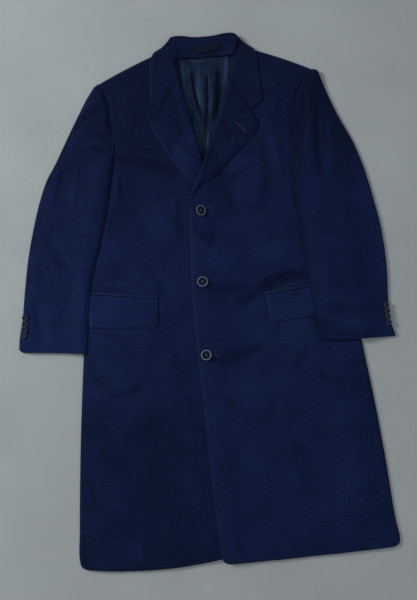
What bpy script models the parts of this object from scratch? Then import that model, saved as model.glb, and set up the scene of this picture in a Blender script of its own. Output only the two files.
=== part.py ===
"""A single-breasted wool overcoat with notch lapels, buttoned and laid flat on its back.

Each sewn piece is its own closed wall of cloth. A piece is a table of sections, from its left edge to its
right edge, and it is laid on the pieces below it: every corner of its wall is raised until the wall clears
what lies under it, and smoothed as heavy wool would bridge a step. +Y runs towards the collar, +X to the
right of somebody who looks down on the coat, and Z = 0 is the surface that the back lies on.
"""

import math
from collections import namedtuple

import bmesh
import bpy
import numpy as np

# Driving dimensions, in millimetres. Plan tables are measured from a point beside the middle button.
MM = 0.001
PLAN_CENTRE = (-37.5, 23.5)
CLOTH = 3.0
LAPEL_CLOTH = 4.0
COLLAR_CLOTH = 3.6
FLAP_CLOTH = 3.4
LINING_CLOTH = 1.0
LABEL_CLOTH = 0.8
WELT_CLOTH = 2.0
SEAM_GAP = 0.45
BODY_EASE = 1.7
SLEEVE_EASE = 2.2
LAPEL_ROLL = 2.0
SHOULDER_PAD = 6.0
PAD_REACH = 95.0
PAD_PLACES = ((-196.0, 512.0), (176.0, 510.0))
COLLAR_RISE = 11.0
# Heights in y between which a sleeve's inner edge goes from beside the armhole to on top of the front.
SLEEVE_CLIMB = (384.0, 426.0)
STAND_RISE = 2.4
FLAP_LIFT = 0.5
HEAD_WADDING = 3.0
WADDING_SHARE = 0.3
# How steeply room fades in towards a piece's sides and ends, in fractions of the piece.
BODY_FADE = (4.0, 10.0)
SLEEVE_FADE = (3.5, 6.0)
PAD_FADE = (8.0, 0.25)
# Heights in y between which the collar's fold rises round the back of the neck, and its room at the tips.
NECK_CLIMB = (560.0, 620.0)
TIP_ROOM = 2.0

# Buttons: diameter, height and sides of the turned blank. The four holes lie on a circle.
FRONT_BUTTON = (25.0, 4.6, 24)
CUFF_BUTTON = (13.0, 3.4, 14)
HOLE_CIRCLE = 3.4
HOLE_BORE = 2.2
HOLE_SIDES = 8
HOLE_DEPTH = 20.0
# Profile of the blank: radius as a share of the button's, and height as a share of its height.
BUTTON_PROFILE = ((0.0, 0.0), (0.78, 0.0), (0.97, 0.35), (1.0, 0.62), (0.93, 0.95), (0.84, 1.0), (0.72, 0.84),
                  (0.62, 0.55), (0.0, 0.5))
FRONT_BUTTON_PLACES = ((-34, 233), (-40, 69), (-43, -100))
# The first button of each cuff, and the step to the next.
CUFF_ROWS = {"left": (-452, 14, -1.6, -13.4), "right": (377, -14, 0.8, -13.4)}
CUFF_COUNT = 4

# The map of heights that each piece is laid on: its corner, its cell and its number of cells.
MAP_CORNER = (-500.0, -620.0)
MAP_CELL = 5.0
MAP_SIZE = (184, 256)
SETTLE_ROUNDS = 12
FRONT_ROUNDS = 5
LEAF_ROUNDS = 3
# Columns of points across each piece.
COLUMNS = {"lining_back": 17, "front_under": 9, "front_over": 10, "lapel_under": 4, "lapel_over": 4,
           "pocket_welt_left": 5, "pocket_welt_right": 5, "pocket_flap_left": 8, "pocket_flap_right": 8,
           "under_sleeve_left": 7, "under_sleeve_right": 7, "top_sleeve_left": 7, "top_sleeve_right": 7,
           "collar_leaf": 4, "collar_stand": 11, "neck_label": 4}

# Colours are linear RGB.
WOOL = ("navy_wool", (0.0066, 0.0108, 0.046), 0.86, 0.0)
SATIN = ("navy_satin", (0.0095, 0.0125, 0.034), 0.34, 0.0)
LABEL = ("woven_label", (0.006, 0.008, 0.018), 0.6, 0.0)
HORN = ("dark_button", (0.012, 0.013, 0.02), 0.25, 0.0)

Section = namedtuple("Section", "left_x left_y right_x right_y sag steps sharp", defaults=(0.0, 1, False))
Ridge = namedtuple("Ridge", "start_x start_y end_x end_y half_width height")

# The outline of the back, in stretches that its left and right halves share with the fronts.
ARMHOLE_LEFT = ((-249, 536), (-236, 523), (-227, 500), (-224, 466), (-221, 420), (-222, 385), (-231, 352))
ARMHOLE_RIGHT = ((247, 537), (226, 521), (207, 500), (195, 463), (188, 426), (186, 390), (193, 352))
UNDERARM_LEFT = ((-254, 329), (-285, 312))
UNDERARM_RIGHT = ((218, 329), (266, 312))
SIDE_LEFT = ((-290, 262), (-301, 150), (-311, 40), (-325, -84), (-345, -275), (-362, -484), (-366, -556))
SIDE_RIGHT = ((279, 262), (291, 150), (303, 40), (316, -91), (334, -219), (351, -362), (365.5, -510),
              (372, -552))
HEM = ((-363, -567), (-354, -573), (-262, -582), (-166, -583), (-85, -576), (-36, -569), (60, -579),
       (204, -577.5), (360, -568.5), (370, -563))
NAPE = ((180, 568), (112, 594), (86, 593), (62, 592), (-2, 591), (-66, 592), (-88, 593), (-115, 595),
        (-182, 568))

FRONT_UNDER = (
    Section(-249, 536, -112, 596, -2.5),
    Section(-236, 523, -86, 577),
    Section(-227, 500, -71, 545),
    Section(-224, 466, -60, 505),
    Section(-221, 420, -48, 462),
    Section(-222, 385, -40, 420),
    Section(-231, 352, -32, 380),
    Section(-254, 329, -25, 345),
    Section(-285, 312, -19, 312),
    Section(-290, 262, -14, 262, 0, 3),
    Section(-301, 150, -13, 150, 0, 3),
    Section(-311, 40, -14, 40, 0, 3),
    Section(-325, -84, -13, -88, 0, 5),
    Section(-345, -275, -8, -270, 0, 5),
    Section(-362, -484, 3, -460, 7, 2),
    Section(-366, -556, 8, -538, 14),
    Section(-363, -567, 9, -552, 16),
    Section(-354, -573, 9, -561, 17),
)
FRONT_OVER = (
    Section(109, 594, 247, 537, -2.5),
    Section(86, 575, 226, 521),
    Section(68, 543, 207, 500),
    Section(48, 500, 195, 463),
    Section(31, 459, 188, 426),
    Section(14, 415, 186, 390),
    Section(-3, 375, 193, 352),
    Section(-17, 342, 218, 329),
    Section(-34, 305, 266, 312),
    Section(-53, 262, 279, 262),
    Section(-57, 225, 283, 225, 0, 2),
    Section(-60, 150, 291, 150, 0, 3),
    Section(-63, 40, 303, 40, 0, 3),
    Section(-62, -88, 316, -91, 0, 3),
    Section(-58, -219, 334, -219, 0, 4),
    Section(-53, -362, 351, -362, 0, 4),
    Section(-44, -510, 365.5, -510, 1),
    Section(-40, -560, 372, -552, 1.5),
    Section(-35, -575, 370, -563, 1.5),
    Section(-22, -584, 360, -569, 1.5),
)
LAPEL_UNDER = (
    Section(-105, 469, -60, 534),
    Section(-137, 435, -58, 518, 0, 1, True),
    Section(-118, 399, -52, 495, 0, 2),
    Section(-94, 354, -44, 455, 0, 2),
    Section(-74, 326, -35, 415, 0, 2),
    Section(-57, 305, -26, 375, 0, 2),
    Section(-40, 288, -17, 335, 0, 2),
    Section(-27, 270, -12, 296),
)
LAPEL_OVER = (
    Section(53, 530, 95, 452),
    Section(48, 514, 113, 415, 0, 1, True),
    Section(41, 497, 102, 399, 0, 2),
    Section(25, 459, 72, 371, 0, 2),
    Section(7, 410, 30, 331, 0, 2),
    Section(-9, 366, -3, 303, 0, 2),
    Section(-28, 320, -31, 287, 0, 2),
    Section(-50, 272, -44, 268),
)
# The collar's leaf runs from its left tip, round the back of the neck, to its right tip. The left column is
# its outer edge and the right one its fold.
COLLAR_LEAF = (
    Section(-106, 471, -61, 536, 0, 1, True),
    Section(-129, 487, -63, 549, 0, 2, True),
    Section(-130, 515, -64, 563, 0, 2),
    Section(-129, 550, -66, 578, 0, 2),
    Section(-124, 584, -69, 594, 0, 2),
    Section(-114, 602, -73, 612, 0, 2),
    Section(-96, 608, -76, 628, 0, 1),
    Section(-80, 606, -68, 631, 0, 1),
    Section(-60, 603, -52, 631.5, 0, 2),
    Section(-24, 600, -22, 626.5, 0, 2),
    Section(24, 600, 22, 627, 0, 2),
    Section(60, 602, 54, 631, 0, 1),
    Section(80, 605, 70, 629.5, 0, 1),
    Section(97, 605, 77, 623.5, 0, 1),
    Section(110, 598, 74, 610, 0, 2),
    Section(119, 579, 69, 594, 0, 2),
    Section(120, 548, 66, 579, 0, 2),
    Section(123, 510, 62, 562, 0, 2),
    Section(125, 472, 57, 546, 0, 1, True),
    Section(97, 454, 54, 532),
)
COLLAR_STAND = (
    Section(-67, 581, 63, 581),
    Section(-69, 597, 66, 596),
    Section(-72, 612, 70, 611),
    Section(-72, 620, 72, 619, 1.5),
    Section(-64, 626.5, 66, 626.5, 4),
)
LINING = (
    Section(-80, 589, 78, 588),
    Section(-80, 568, 79, 566, 0, 2),
    Section(-80, 530, 76, 524, 0, 3),
    Section(-70, 470, 52, 465, 0, 3),
    Section(-60, 410, 28, 405, 0, 3),
    Section(-48, 350, 6, 345, 0, 2),
    Section(-42, 312, -4, 310),
)
SLEEVE_LEFT = (
    Section(-258, 531, -249.8, 536),
    Section(-277, 505, -236.8, 523),
    Section(-295.5, 474, -227.8, 500),
    Section(-317.5, 436, -224.8, 466),
    Section(-341, 394, -221.8, 420),
    Section(-360.5, 359, -222.8, 385),
    Section(-381, 326, -227, 354),
    Section(-400, 280, -234, 310, 0, 2),
    Section(-420, 215, -247, 250, 0, 2),
    Section(-437, 146, -265, 180, 0, 3),
    Section(-451, 65, -293, 90, 0, 3),
    Section(-461, 0, -308, 0),
    Section(-467, -23, -311, -32),
    Section(-471, -50, -314, -62),
    Section(-471, -60, -315, -74),
    Section(-464, -66, -315, -79, -1),
)
SLEEVE_RIGHT = (
    Section(247.8, 537, 258, 532),
    Section(226.8, 521, 268, 503),
    Section(207.8, 500, 278, 474),
    Section(195.8, 463, 295.5, 431),
    Section(188.8, 426, 311.5, 398),
    Section(186.8, 390, 327, 366),
    Section(185, 350, 341, 328),
    Section(184, 310, 352, 291, 0, 2),
    Section(186, 245, 367.5, 222, 0, 2),
    Section(192, 180, 378, 165, 0, 3),
    Section(199, 90, 385, 75, 0, 3),
    Section(208, 0, 383, -8),
    Section(212, -32, 384, -38),
    Section(218, -62, 390, -70),
    Section(221, -79, 394, -83),
    Section(223, -82, 393, -87, 2),
)
WELT_LEFT = (Section(-301, 63, -144, 42), Section(-301, 57, -145, 36))
FLAP_LEFT = (
    Section(-301, 56, -145, 35.5),
    Section(-303, 37, -146, 16, 0, 2),
    Section(-306, -10, -148.5, -20),
    Section(-305, -17, -151, -27),
    Section(-300, -19, -158, -29),
)
WELT_RIGHT = (Section(100, 35, 259, 52), Section(101, 29, 260, 46))
FLAP_RIGHT = (
    Section(101.5, 28, 260, 45),
    Section(103.5, 9, 262, 26, 0, 2),
    Section(107, -26, 266, -12),
    Section(110, -33, 264, -19),
    Section(117, -35, 258, -21),
)
NECK_LABEL = (Section(-17, 588.5, 35, 596), Section(-18.5, 601, 33.5, 608.5))

# Soft ridges in the cloth, from the largest folds that show.
LINING_RIDGES = (
    Ridge(-50, 572, -36, 380, 9, 4.5),
    Ridge(-27, 574, -30, 360, 8, 5.5),
    Ridge(-4, 574, -24, 350, 8, 6.0),
    Ridge(22, 574, -14, 360, 8, 6.0),
    Ridge(48, 570, 6, 405, 10, 5.0),
)
BODY_RIDGES = (
    Ridge(-250, -130, -290, -560, 48, 1.8),
    Ridge(-120, -60, -140, -560, 45, 1.4),
    Ridge(150, -70, 120, -560, 55, 1.6),
    Ridge(270, -120, 300, -545, 45, 1.8),
    Ridge(-190, 420, -120, 250, 40, 1.2),
    Ridge(150, 400, 60, 220, 40, 1.2),
)
SLEEVE_RIDGES = (
    Ridge(-345, 330, -300, 250, 30, 1.4),
    Ridge(-410, 215, -330, 150, 28, 1.3),
    Ridge(-400, 60, -360, -20, 26, 1.0),
    Ridge(285, 340, 240, 250, 30, 1.4),
    Ridge(350, 190, 280, 120, 28, 1.3),
    Ridge(330, 50, 290, -30, 26, 1.0),
)


def smooth_step(value):
    """Rises from 0 to 1 as the value does, with no corner at either end."""
    held = np.clip(value, 0.0, 1.0)
    return held * held * (3.0 - 2.0 * held)


def ridge_height(ridges, x, y):
    """Height of a set of soft ridges over the points x, y: each fades out across its width and at its ends."""
    total = np.zeros_like(x)
    for ridge in ridges:
        run = np.array([ridge.end_x - ridge.start_x, ridge.end_y - ridge.start_y])
        length = np.hypot(*run)
        along = ((x - ridge.start_x) * run[0] + (y - ridge.start_y) * run[1]) / length**2
        across = np.abs((x - ridge.start_x) * run[1] - (y - ridge.start_y) * run[0]) / length
        ends = smooth_step(along / 0.2) * smooth_step((1.0 - along) / 0.2)
        total += ridge.height * ends * smooth_step(1.0 - across / ridge.half_width)
    return total


def shoulder_pad(x, y):
    """Extra thickness of the padded shoulders, fading with the distance from each pad's middle."""
    total = np.zeros_like(x)
    for pad_x, pad_y in PAD_PLACES:
        total += SHOULDER_PAD * smooth_step(1.0 - np.hypot(x - pad_x, y - pad_y) / PAD_REACH)
    return total


def chain(points, steps, sharp):
    """A smooth curve through every point, with the given number of steps after each and corners where sharp."""
    points = np.array(points, dtype=float)
    span = np.hypot(*(points[1:] - points[:-1]).T)
    slope = (points[1:] - points[:-1]) / span[:, None]
    curve = []
    for i in range(len(span)):
        before = slope[i] if i == 0 or sharp[i] else slope[i - 1 : i + 1].mean(axis=0)
        after = slope[i] if i + 1 == len(span) or sharp[i + 1] else slope[i : i + 2].mean(axis=0)
        for step in range(steps[i]):
            t = step / steps[i]
            lead = (1 + 2 * t) * (1 - t) ** 2 * points[i] + t * t * (3 - 2 * t) * points[i + 1]
            bend = t * (1 - t) ** 2 * before - t * t * (1 - t) * after
            curve.append(lead + bend * span[i])
    curve.append(points[-1])
    return np.array(curve)


def plan_grid(sections, columns):
    """Plan points of a piece, as an array of rows by columns by 2, from its table of sections."""
    steps = [section.steps for section in sections]
    sharp = [section.sharp for section in sections]
    left = chain([(s.left_x, s.left_y) for s in sections], steps, sharp)
    right = chain([(s.right_x, s.right_y) for s in sections], steps, sharp)
    sags = chain([(i * 100.0, s.sag) for i, s in enumerate(sections)], steps, sharp)[:, 1]
    across = np.linspace(0.0, 1.0, columns)
    grid = left[:, None, :] + (right - left)[:, None, :] * across[None, :, None]
    grid[:, :, 1] -= sags[:, None] * (4.0 * across * (1.0 - across))[None, :]
    return grid


class HeightMap:
    """The top of one laid piece on a grid of square cells, or minus infinity where it isn't."""

    def __init__(self):
        self.top = np.full(MAP_SIZE, -np.inf)

    def grown(self):
        """The map with each cell at the highest of itself and its eight neighbours."""
        padded = np.pad(self.top, 1, constant_values=-np.inf)
        wide, deep = MAP_SIZE
        shifts = [padded[i : i + wide, j : j + deep] for i in range(3) for j in range(3)]
        return np.max(shifts, axis=0)


MAPS = {}


def cells_of(x, y):
    """Indices of the cells that hold the points x, y."""
    i = np.rint((np.asarray(x) - MAP_CORNER[0]) / MAP_CELL).astype(int)
    j = np.rint((np.asarray(y) - MAP_CORNER[1]) / MAP_CELL).astype(int)
    return i, j


def triangles_of(rows, columns):
    """The two triangles of each square of a grid of points, as rows of three point numbers."""
    index = np.arange(rows * columns).reshape(rows, columns)
    a, b = index[:-1, :-1].ravel(), index[:-1, 1:].ravel()
    c, d = index[1:, 1:].ravel(), index[1:, :-1].ravel()
    return np.concatenate([np.stack([a, b, c], 1), np.stack([a, c, d], 1)])


def winding(points, triangles):
    """Twice the signed plan area of the triangles, positive where they run counter-clockwise from above."""
    p, q, r = (points[triangles[:, k]] for k in range(3))
    return float(((q[:, 0] - p[:, 0]) * (r[:, 1] - p[:, 1]) - (r[:, 0] - p[:, 0]) * (q[:, 1] - p[:, 1])).sum())


def samples_of(points, triangles):
    """Cells that each triangle covers: point numbers and weights of each sample, and its cell."""
    corners, weights, cells = [], [], []
    for tri in triangles:
        p, q, r = points[tri]
        (i0, i1), (j0, j1) = cells_of([min(p[0], q[0], r[0]), max(p[0], q[0], r[0])],
                                      [min(p[1], q[1], r[1]), max(p[1], q[1], r[1])])
        i, j = np.meshgrid(np.arange(i0, i1 + 1), np.arange(j0, j1 + 1), indexing="ij")
        x = MAP_CORNER[0] + i.ravel() * MAP_CELL
        y = MAP_CORNER[1] + j.ravel() * MAP_CELL
        area = (q[0] - p[0]) * (r[1] - p[1]) - (r[0] - p[0]) * (q[1] - p[1])
        u = ((x - p[0]) * (r[1] - p[1]) - (r[0] - p[0]) * (y - p[1])) / area
        v = ((q[0] - p[0]) * (y - p[1]) - (x - p[0]) * (q[1] - p[1])) / area
        inside = (u >= 0) & (v >= 0) & (u + v <= 1)
        count = int(inside.sum())
        corners.append(np.repeat(tri[None, :], count, axis=0))
        weights.append(np.stack([1 - u[inside] - v[inside], u[inside], v[inside]], 1))
        cells.append(np.stack([i.ravel()[inside], j.ravel()[inside]], 1))
    own = np.arange(len(points))
    corners.append(np.stack([own, own, own], 1))
    weights.append(np.repeat([[1.0, 0.0, 0.0]], len(points), axis=0))
    cells.append(np.stack(cells_of(points[:, 0], points[:, 1]), 1))
    return np.concatenate(corners), np.concatenate(weights), np.concatenate(cells)


def ground_under(names, climb=None, grown=True):
    """Height that a piece must clear: the floor, and the named pieces with a seam's gap over them."""
    ground = np.zeros(MAP_SIZE)
    for name in names:
        top = MAPS[name].grown() if grown else MAPS[name].top
        ground = np.maximum(ground, top + SEAM_GAP)
    if climb is not None:
        y = MAP_CORNER[1] + np.arange(MAP_SIZE[1]) * MAP_CELL
        low, high = climb
        ground = ground * smooth_step((high - y) / (high - low))[None, :]
    return ground


def settle(grid, ground, bare_ground, ease, rounds):
    """Smooth heights of a piece's underside that clear the ground by the ease, then dropped until it touches."""
    rows, columns = grid.shape[:2]
    points = grid.reshape(-1, 2)
    corners, weights, cells = samples_of(points, triangles_of(rows, columns))
    need = ground[cells[:, 0], cells[:, 1]] + (ease.ravel()[corners] * weights).sum(axis=1)
    height = np.zeros(rows * columns)
    for turn in range(rounds):
        short = need - (height[corners] * weights).sum(axis=1)
        lift = np.zeros_like(height)
        for k in range(3):
            np.maximum.at(lift, corners[:, k], short)
        height = height + lift
        if turn < rounds - 1:
            net = np.pad(height.reshape(rows, columns), 1, mode="edge")
            sides = net[:-2, 1:-1] + net[2:, 1:-1] + net[1:-1, :-2] + net[1:-1, 2:]
            height = (0.5 * net[1:-1, 1:-1] + 0.125 * sides).ravel()
    spare = (height[corners] * weights).sum(axis=1) - bare_ground[cells[:, 0], cells[:, 1]]
    return height.reshape(rows, columns) - max(0.0, spare.min())


def record_top(name, grid, top):
    """Keep the top of a laid piece, so that later pieces can be laid on it."""
    rows, columns = top.shape
    corners, weights, cells = samples_of(grid.reshape(-1, 2), triangles_of(rows, columns))
    surface = HeightMap()
    np.maximum.at(surface.top, (cells[:, 0], cells[:, 1]), (top.ravel()[corners] * weights).sum(axis=1))
    MAPS[name] = surface


def material(finish):
    """The Principled material of a finish, made once."""
    name, colour, roughness, metallic = finish
    made = bpy.data.materials.get(name)
    if made is None:
        made = bpy.data.materials.new(name)
        made.use_nodes = True
        shader = made.node_tree.nodes["Principled BSDF"]
        shader.inputs["Base Color"].default_value = (*colour, 1.0)
        shader.inputs["Roughness"].default_value = roughness
        shader.inputs["Metallic"].default_value = metallic
    return made


def add_object(name, mesh, finish):
    """Link a finished mesh to the scene as one named sub-part with its material."""
    mesh.materials.append(material(finish))
    made = bpy.data.objects.new(name, mesh)
    bpy.context.scene.collection.objects.link(made)
    return made


def cloth_wall(name, grid, under, top, finish):
    """A closed wall of cloth between the heights of its underside and its top over the same plan points."""
    rows, columns = top.shape
    centre = np.array(PLAN_CENTRE)
    plan = (grid.reshape(-1, 2) - centre) * MM
    shape = bmesh.new()
    upper = [shape.verts.new((x, y, z * MM)) for (x, y), z in zip(plan, top.ravel())]
    lower = [shape.verts.new((x, y, z * MM)) for (x, y), z in zip(plan, under.ravel())]
    for a, b, c in triangles_of(rows, columns):
        shape.faces.new((upper[a], upper[b], upper[c]))
        shape.faces.new((lower[c], lower[b], lower[a]))
    index = np.arange(rows * columns).reshape(rows, columns)
    rim = [*index[0, :-1], *index[:-1, -1], *index[-1, :0:-1], *index[:0:-1, 0]]
    for a, b in zip(rim, rim[1:] + rim[:1]):
        shape.faces.new((upper[a], lower[a], lower[b], upper[b]))
    if winding(grid.reshape(-1, 2), triangles_of(rows, columns)) < 0.0:
        bmesh.ops.reverse_faces(shape, faces=shape.faces)
    mesh = bpy.data.meshes.new(name)
    shape.to_mesh(mesh)
    shape.free()
    return add_object(name, mesh, finish)


def lay(name, sections, rests_on, finish, thickness, ease=None, extra=None, climb=None,
        rounds=SETTLE_ROUNDS):
    """Lay one piece of cloth on the named pieces and keep its top.

    ease gives the room kept over what lies below, and extra the added thickness, both from plan points and
    from the places 0 to 1 across and down the piece. climb fades the ground out between two heights in y.
    rounds is how often the piece is smoothed: few on a small firm piece.
    """
    grid = plan_grid(sections, COLUMNS[name])
    rows, columns = grid.shape[:2]
    x, y = grid[:, :, 0], grid[:, :, 1]
    down, across = np.meshgrid(np.linspace(0, 1, rows), np.linspace(0, 1, columns), indexing="ij")
    room = ease(x, y, across, down) if ease else np.zeros_like(x)
    bare = ground_under(rests_on, climb, grown=False)
    under = settle(grid, ground_under(rests_on, climb), bare, room, rounds)
    top = under + thickness + (extra(x, y, across, down) if extra else 0.0)
    record_top(name, grid, top)
    return cloth_wall(name, grid, under, top, finish)


def back_panel():
    """The back, one plain panel that lies flat on the floor. Its outline goes clockwise from the nape."""
    outline = [*NAPE, *ARMHOLE_LEFT, *UNDERARM_LEFT, *SIDE_LEFT, *HEM]
    outline += [*SIDE_RIGHT[::-1], *UNDERARM_RIGHT[::-1], *ARMHOLE_RIGHT[::-1]]
    points = (np.array(outline, dtype=float) - np.array(PLAN_CENTRE)) * MM
    shape = bmesh.new()
    lower = [shape.verts.new((x, y, 0.0)) for x, y in points]
    face = shape.faces.new(lower)
    raised = bmesh.ops.extrude_face_region(shape, geom=[face])
    verts = [item for item in raised["geom"] if isinstance(item, bmesh.types.BMVert)]
    bmesh.ops.translate(shape, verts=verts, vec=(0.0, 0.0, CLOTH * MM))
    bmesh.ops.triangulate(shape, faces=[f for f in shape.faces if len(f.verts) > 4])
    bmesh.ops.recalc_face_normals(shape, faces=shape.faces)
    mesh = bpy.data.meshes.new("back")
    shape.to_mesh(mesh)
    shape.free()
    add_object("back", mesh, WOOL)
    surface = HeightMap()
    i, j = np.meshgrid(np.arange(MAP_SIZE[0]), np.arange(MAP_SIZE[1]), indexing="ij")
    x = MAP_CORNER[0] + i * MAP_CELL
    y = MAP_CORNER[1] + j * MAP_CELL
    inside = np.zeros(MAP_SIZE, dtype=bool)
    for (ax, ay), (bx, by) in zip(outline, outline[1:] + outline[:1]):
        if ay != by:
            inside ^= ((ay > y) != (by > y)) & (x < (bx - ax) * (y - ay) / (by - ay) + ax)
    surface.top[inside] = CLOTH
    MAPS["back"] = surface


def body_ease(x, y, across, down):
    """Room inside the body, nothing at the side seam and the hem and most in the middle, with its soft folds."""
    side, end = BODY_FADE
    edges = smooth_step(side * np.minimum(across, 1.0 - across)) * smooth_step(end * np.minimum(down, 1.0 - down))
    return edges * (BODY_EASE + ridge_height(BODY_RIDGES, x, y))


def over_ease(x, y, across, down):
    """Room under the buttoned front: it stays up along its front edge, where the other front lies below."""
    side, end = BODY_FADE
    seam = smooth_step(side * (1.0 - across)) * smooth_step(end * np.minimum(down, 1.0 - down))
    return seam * ridge_height(BODY_RIDGES, x, y) * smooth_step(side * across)


def padding(x, y, across, down):
    """Thickness that a padded shoulder adds to a front, kept off its seams."""
    fade, least = PAD_FADE
    return shoulder_pad(x, y) * smooth_step(fade * down + least)


def sleeve_ease(x, y, across, down):
    """Room inside a sleeve, most along its middle."""
    side, end = SLEEVE_FADE
    edges = smooth_step(side * np.minimum(across, 1.0 - across)) * smooth_step(end * down)
    return edges * (SLEEVE_EASE + ridge_height(SLEEVE_RIDGES, x, y))


def sleeve_head(x, y, across, down):
    """Thickness that the wadding in the sleeve's head adds, below the armhole seam."""
    edges = smooth_step(SLEEVE_FADE[1] * np.minimum(across, 1.0 - across))
    return HEAD_WADDING * smooth_step(1.0 - down / WADDING_SHARE) * edges


def collar_ease(x, y, across, down):
    """Room under the collar's leaf: its fold stands up, most of all round the back of the neck."""
    low, high = NECK_CLIMB
    back = smooth_step((y - low) / (high - low))
    return smooth_step(across) * (TIP_ROOM + (COLLAR_RISE - TIP_ROOM) * back)


def stand_ease(x, y, across, down):
    """Room under the collar's stand, most along its middle."""
    return STAND_RISE * smooth_step(1.0 - 2.0 * np.abs(down - 0.5))


def lapel_ease(x, y, across, down):
    """Room under a lapel along its fold, which rolls rather than lies flat."""
    fold = across if x.mean() < PLAN_CENTRE[0] else 1.0 - across
    return LAPEL_ROLL * smooth_step(fold * 1.4 - 0.4) * smooth_step(2.5 * (1.0 - down))


def lining_ease(x, y, across, down):
    """Folds of the lining inside the neck."""
    return ridge_height(LINING_RIDGES, x, y)


def flap_ease(x, y, across, down):
    """A flap lifts a little towards its lower edge."""
    return FLAP_LIFT * smooth_step(down)


def button(name, centre_x, centre_y, size, rests_on):
    """A turned button with a raised rim and a dished middle, flat on what carries it."""
    diameter, height, sides = size
    radius = diameter / 2.0
    i, j = np.indices(MAP_SIZE)
    from_centre = np.hypot(MAP_CORNER[0] + i * MAP_CELL - centre_x, MAP_CORNER[1] + j * MAP_CELL - centre_y)
    base = ground_under(rests_on, grown=False)[from_centre < radius].max()
    shape = bmesh.new()
    points = [shape.verts.new((r * radius * MM, 0.0, z * height * MM)) for r, z in BUTTON_PROFILE]
    edges = [shape.edges.new(pair) for pair in zip(points, points[1:])]
    bmesh.ops.spin(shape, geom=points + edges, cent=(0, 0, 0), axis=(0, 0, 1), angle=math.tau, steps=sides,
                   use_merge=True)
    bmesh.ops.remove_doubles(shape, verts=shape.verts, dist=1e-6)
    bmesh.ops.recalc_face_normals(shape, faces=shape.faces)
    mesh = bpy.data.meshes.new(name)
    shape.to_mesh(mesh)
    shape.free()
    made = add_object(name, mesh, HORN)
    made.location = ((centre_x - PLAN_CENTRE[0]) * MM, (centre_y - PLAN_CENTRE[1]) * MM, base * MM)
    return made


def drill(buttons):
    """Cut the four holes of each button with one hidden cutter for each."""
    for made in buttons:
        shape = bmesh.new()
        for turn in range(4):
            angle = math.radians(45.0 + 90.0 * turn)
            pin = bmesh.ops.create_cone(shape, cap_ends=True, segments=HOLE_SIDES, radius1=HOLE_BORE / 2 * MM,
                                        radius2=HOLE_BORE / 2 * MM, depth=HOLE_DEPTH * MM)
            shift = (HOLE_CIRCLE * math.cos(angle) * MM, HOLE_CIRCLE * math.sin(angle) * MM, 0.0)
            bmesh.ops.translate(shape, verts=pin["verts"], vec=shift)
        mesh = bpy.data.meshes.new(made.name + "_holes")
        shape.to_mesh(mesh)
        shape.free()
        cutter = bpy.data.objects.new(made.name + "_holes", mesh)
        bpy.context.scene.collection.objects.link(cutter)
        cutter.location = made.location
        cutter.hide_render = True
        cutter.display_type = "WIRE"
        cut = made.modifiers.new("holes", "BOOLEAN")
        cut.operation = "DIFFERENCE"
        cut.object = cutter


def build_coat():
    """Lay every piece of the coat, from the back up to the buttons."""
    for old in list(bpy.data.objects):
        bpy.data.objects.remove(old)
    back_panel()
    lay("lining_back", LINING, ("back",), SATIN, LINING_CLOTH, lining_ease)
    inside = ("back", "lining_back")
    lay("front_under", FRONT_UNDER, inside, WOOL, CLOTH, body_ease, padding)
    lay("lapel_under", LAPEL_UNDER, (*inside, "front_under"), WOOL, LAPEL_CLOTH, lapel_ease)
    below = (*inside, "front_under", "lapel_under")
    lay("front_over", FRONT_OVER, below, WOOL, CLOTH, over_ease, padding, rounds=FRONT_ROUNDS)
    lay("lapel_over", LAPEL_OVER, (*below, "front_over"), WOOL, LAPEL_CLOTH, lapel_ease)
    for side, welt, flap, front in (("left", WELT_LEFT, FLAP_LEFT, "front_under"),
                                    ("right", WELT_RIGHT, FLAP_RIGHT, "front_over")):
        lay("pocket_welt_" + side, welt, (front,), WOOL, WELT_CLOTH)
        lay("pocket_flap_" + side, flap, (front,), WOOL, FLAP_CLOTH, flap_ease)
    for side, sections, front in (("left", SLEEVE_LEFT, "front_under"), ("right", SLEEVE_RIGHT, "front_over")):
        body = ("back", front, "pocket_flap_" + side, "pocket_welt_" + side)
        lay("under_sleeve_" + side, sections, body, WOOL, CLOTH, climb=SLEEVE_CLIMB)
        lay("top_sleeve_" + side, sections, ("under_sleeve_" + side,), WOOL, CLOTH, sleeve_ease, sleeve_head)
    lay("collar_leaf", COLLAR_LEAF, (*inside, "front_under", "front_over"), WOOL, COLLAR_CLOTH, collar_ease,
        rounds=LEAF_ROUNDS)
    lay("collar_stand", COLLAR_STAND, (*inside, "collar_leaf"), WOOL, CLOTH, stand_ease)
    lay("neck_label", NECK_LABEL, ("collar_stand",), LABEL, LABEL_CLOTH)
    drill([button(f"front_button_{i + 1}", x, y, FRONT_BUTTON, ("front_over",))
           for i, (x, y) in enumerate(FRONT_BUTTON_PLACES)])
    for side, (x, y, step_x, step_y) in CUFF_ROWS.items():
        for i in range(CUFF_COUNT):
            name = f"cuff_button_{side}_{i + 1}"
            button(name, x + i * step_x, y + i * step_y, CUFF_BUTTON, ("top_sleeve_" + side,))


build_coat()
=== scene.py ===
"""A man's single-breasted overcoat in navy felted wool, buttoned and laid flat on its back.

Every sewn piece is a closed wall of cloth that is laid on the pieces below it. A piece is a table of sections
from its left edge to its right edge, in millimetres of plan. It drapes over what it lies on, and its own
folds and seam rolls are added on top. +Y runs towards the collar and Z = 0 is what the coat lies on.
"""

from __future__ import annotations

import logging
import math
from dataclasses import dataclass, field
from enum import Enum
from typing import Any, NamedTuple, Sequence

import bmesh
import bpy
import numpy as np
from mathutils import Matrix, Vector


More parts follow.
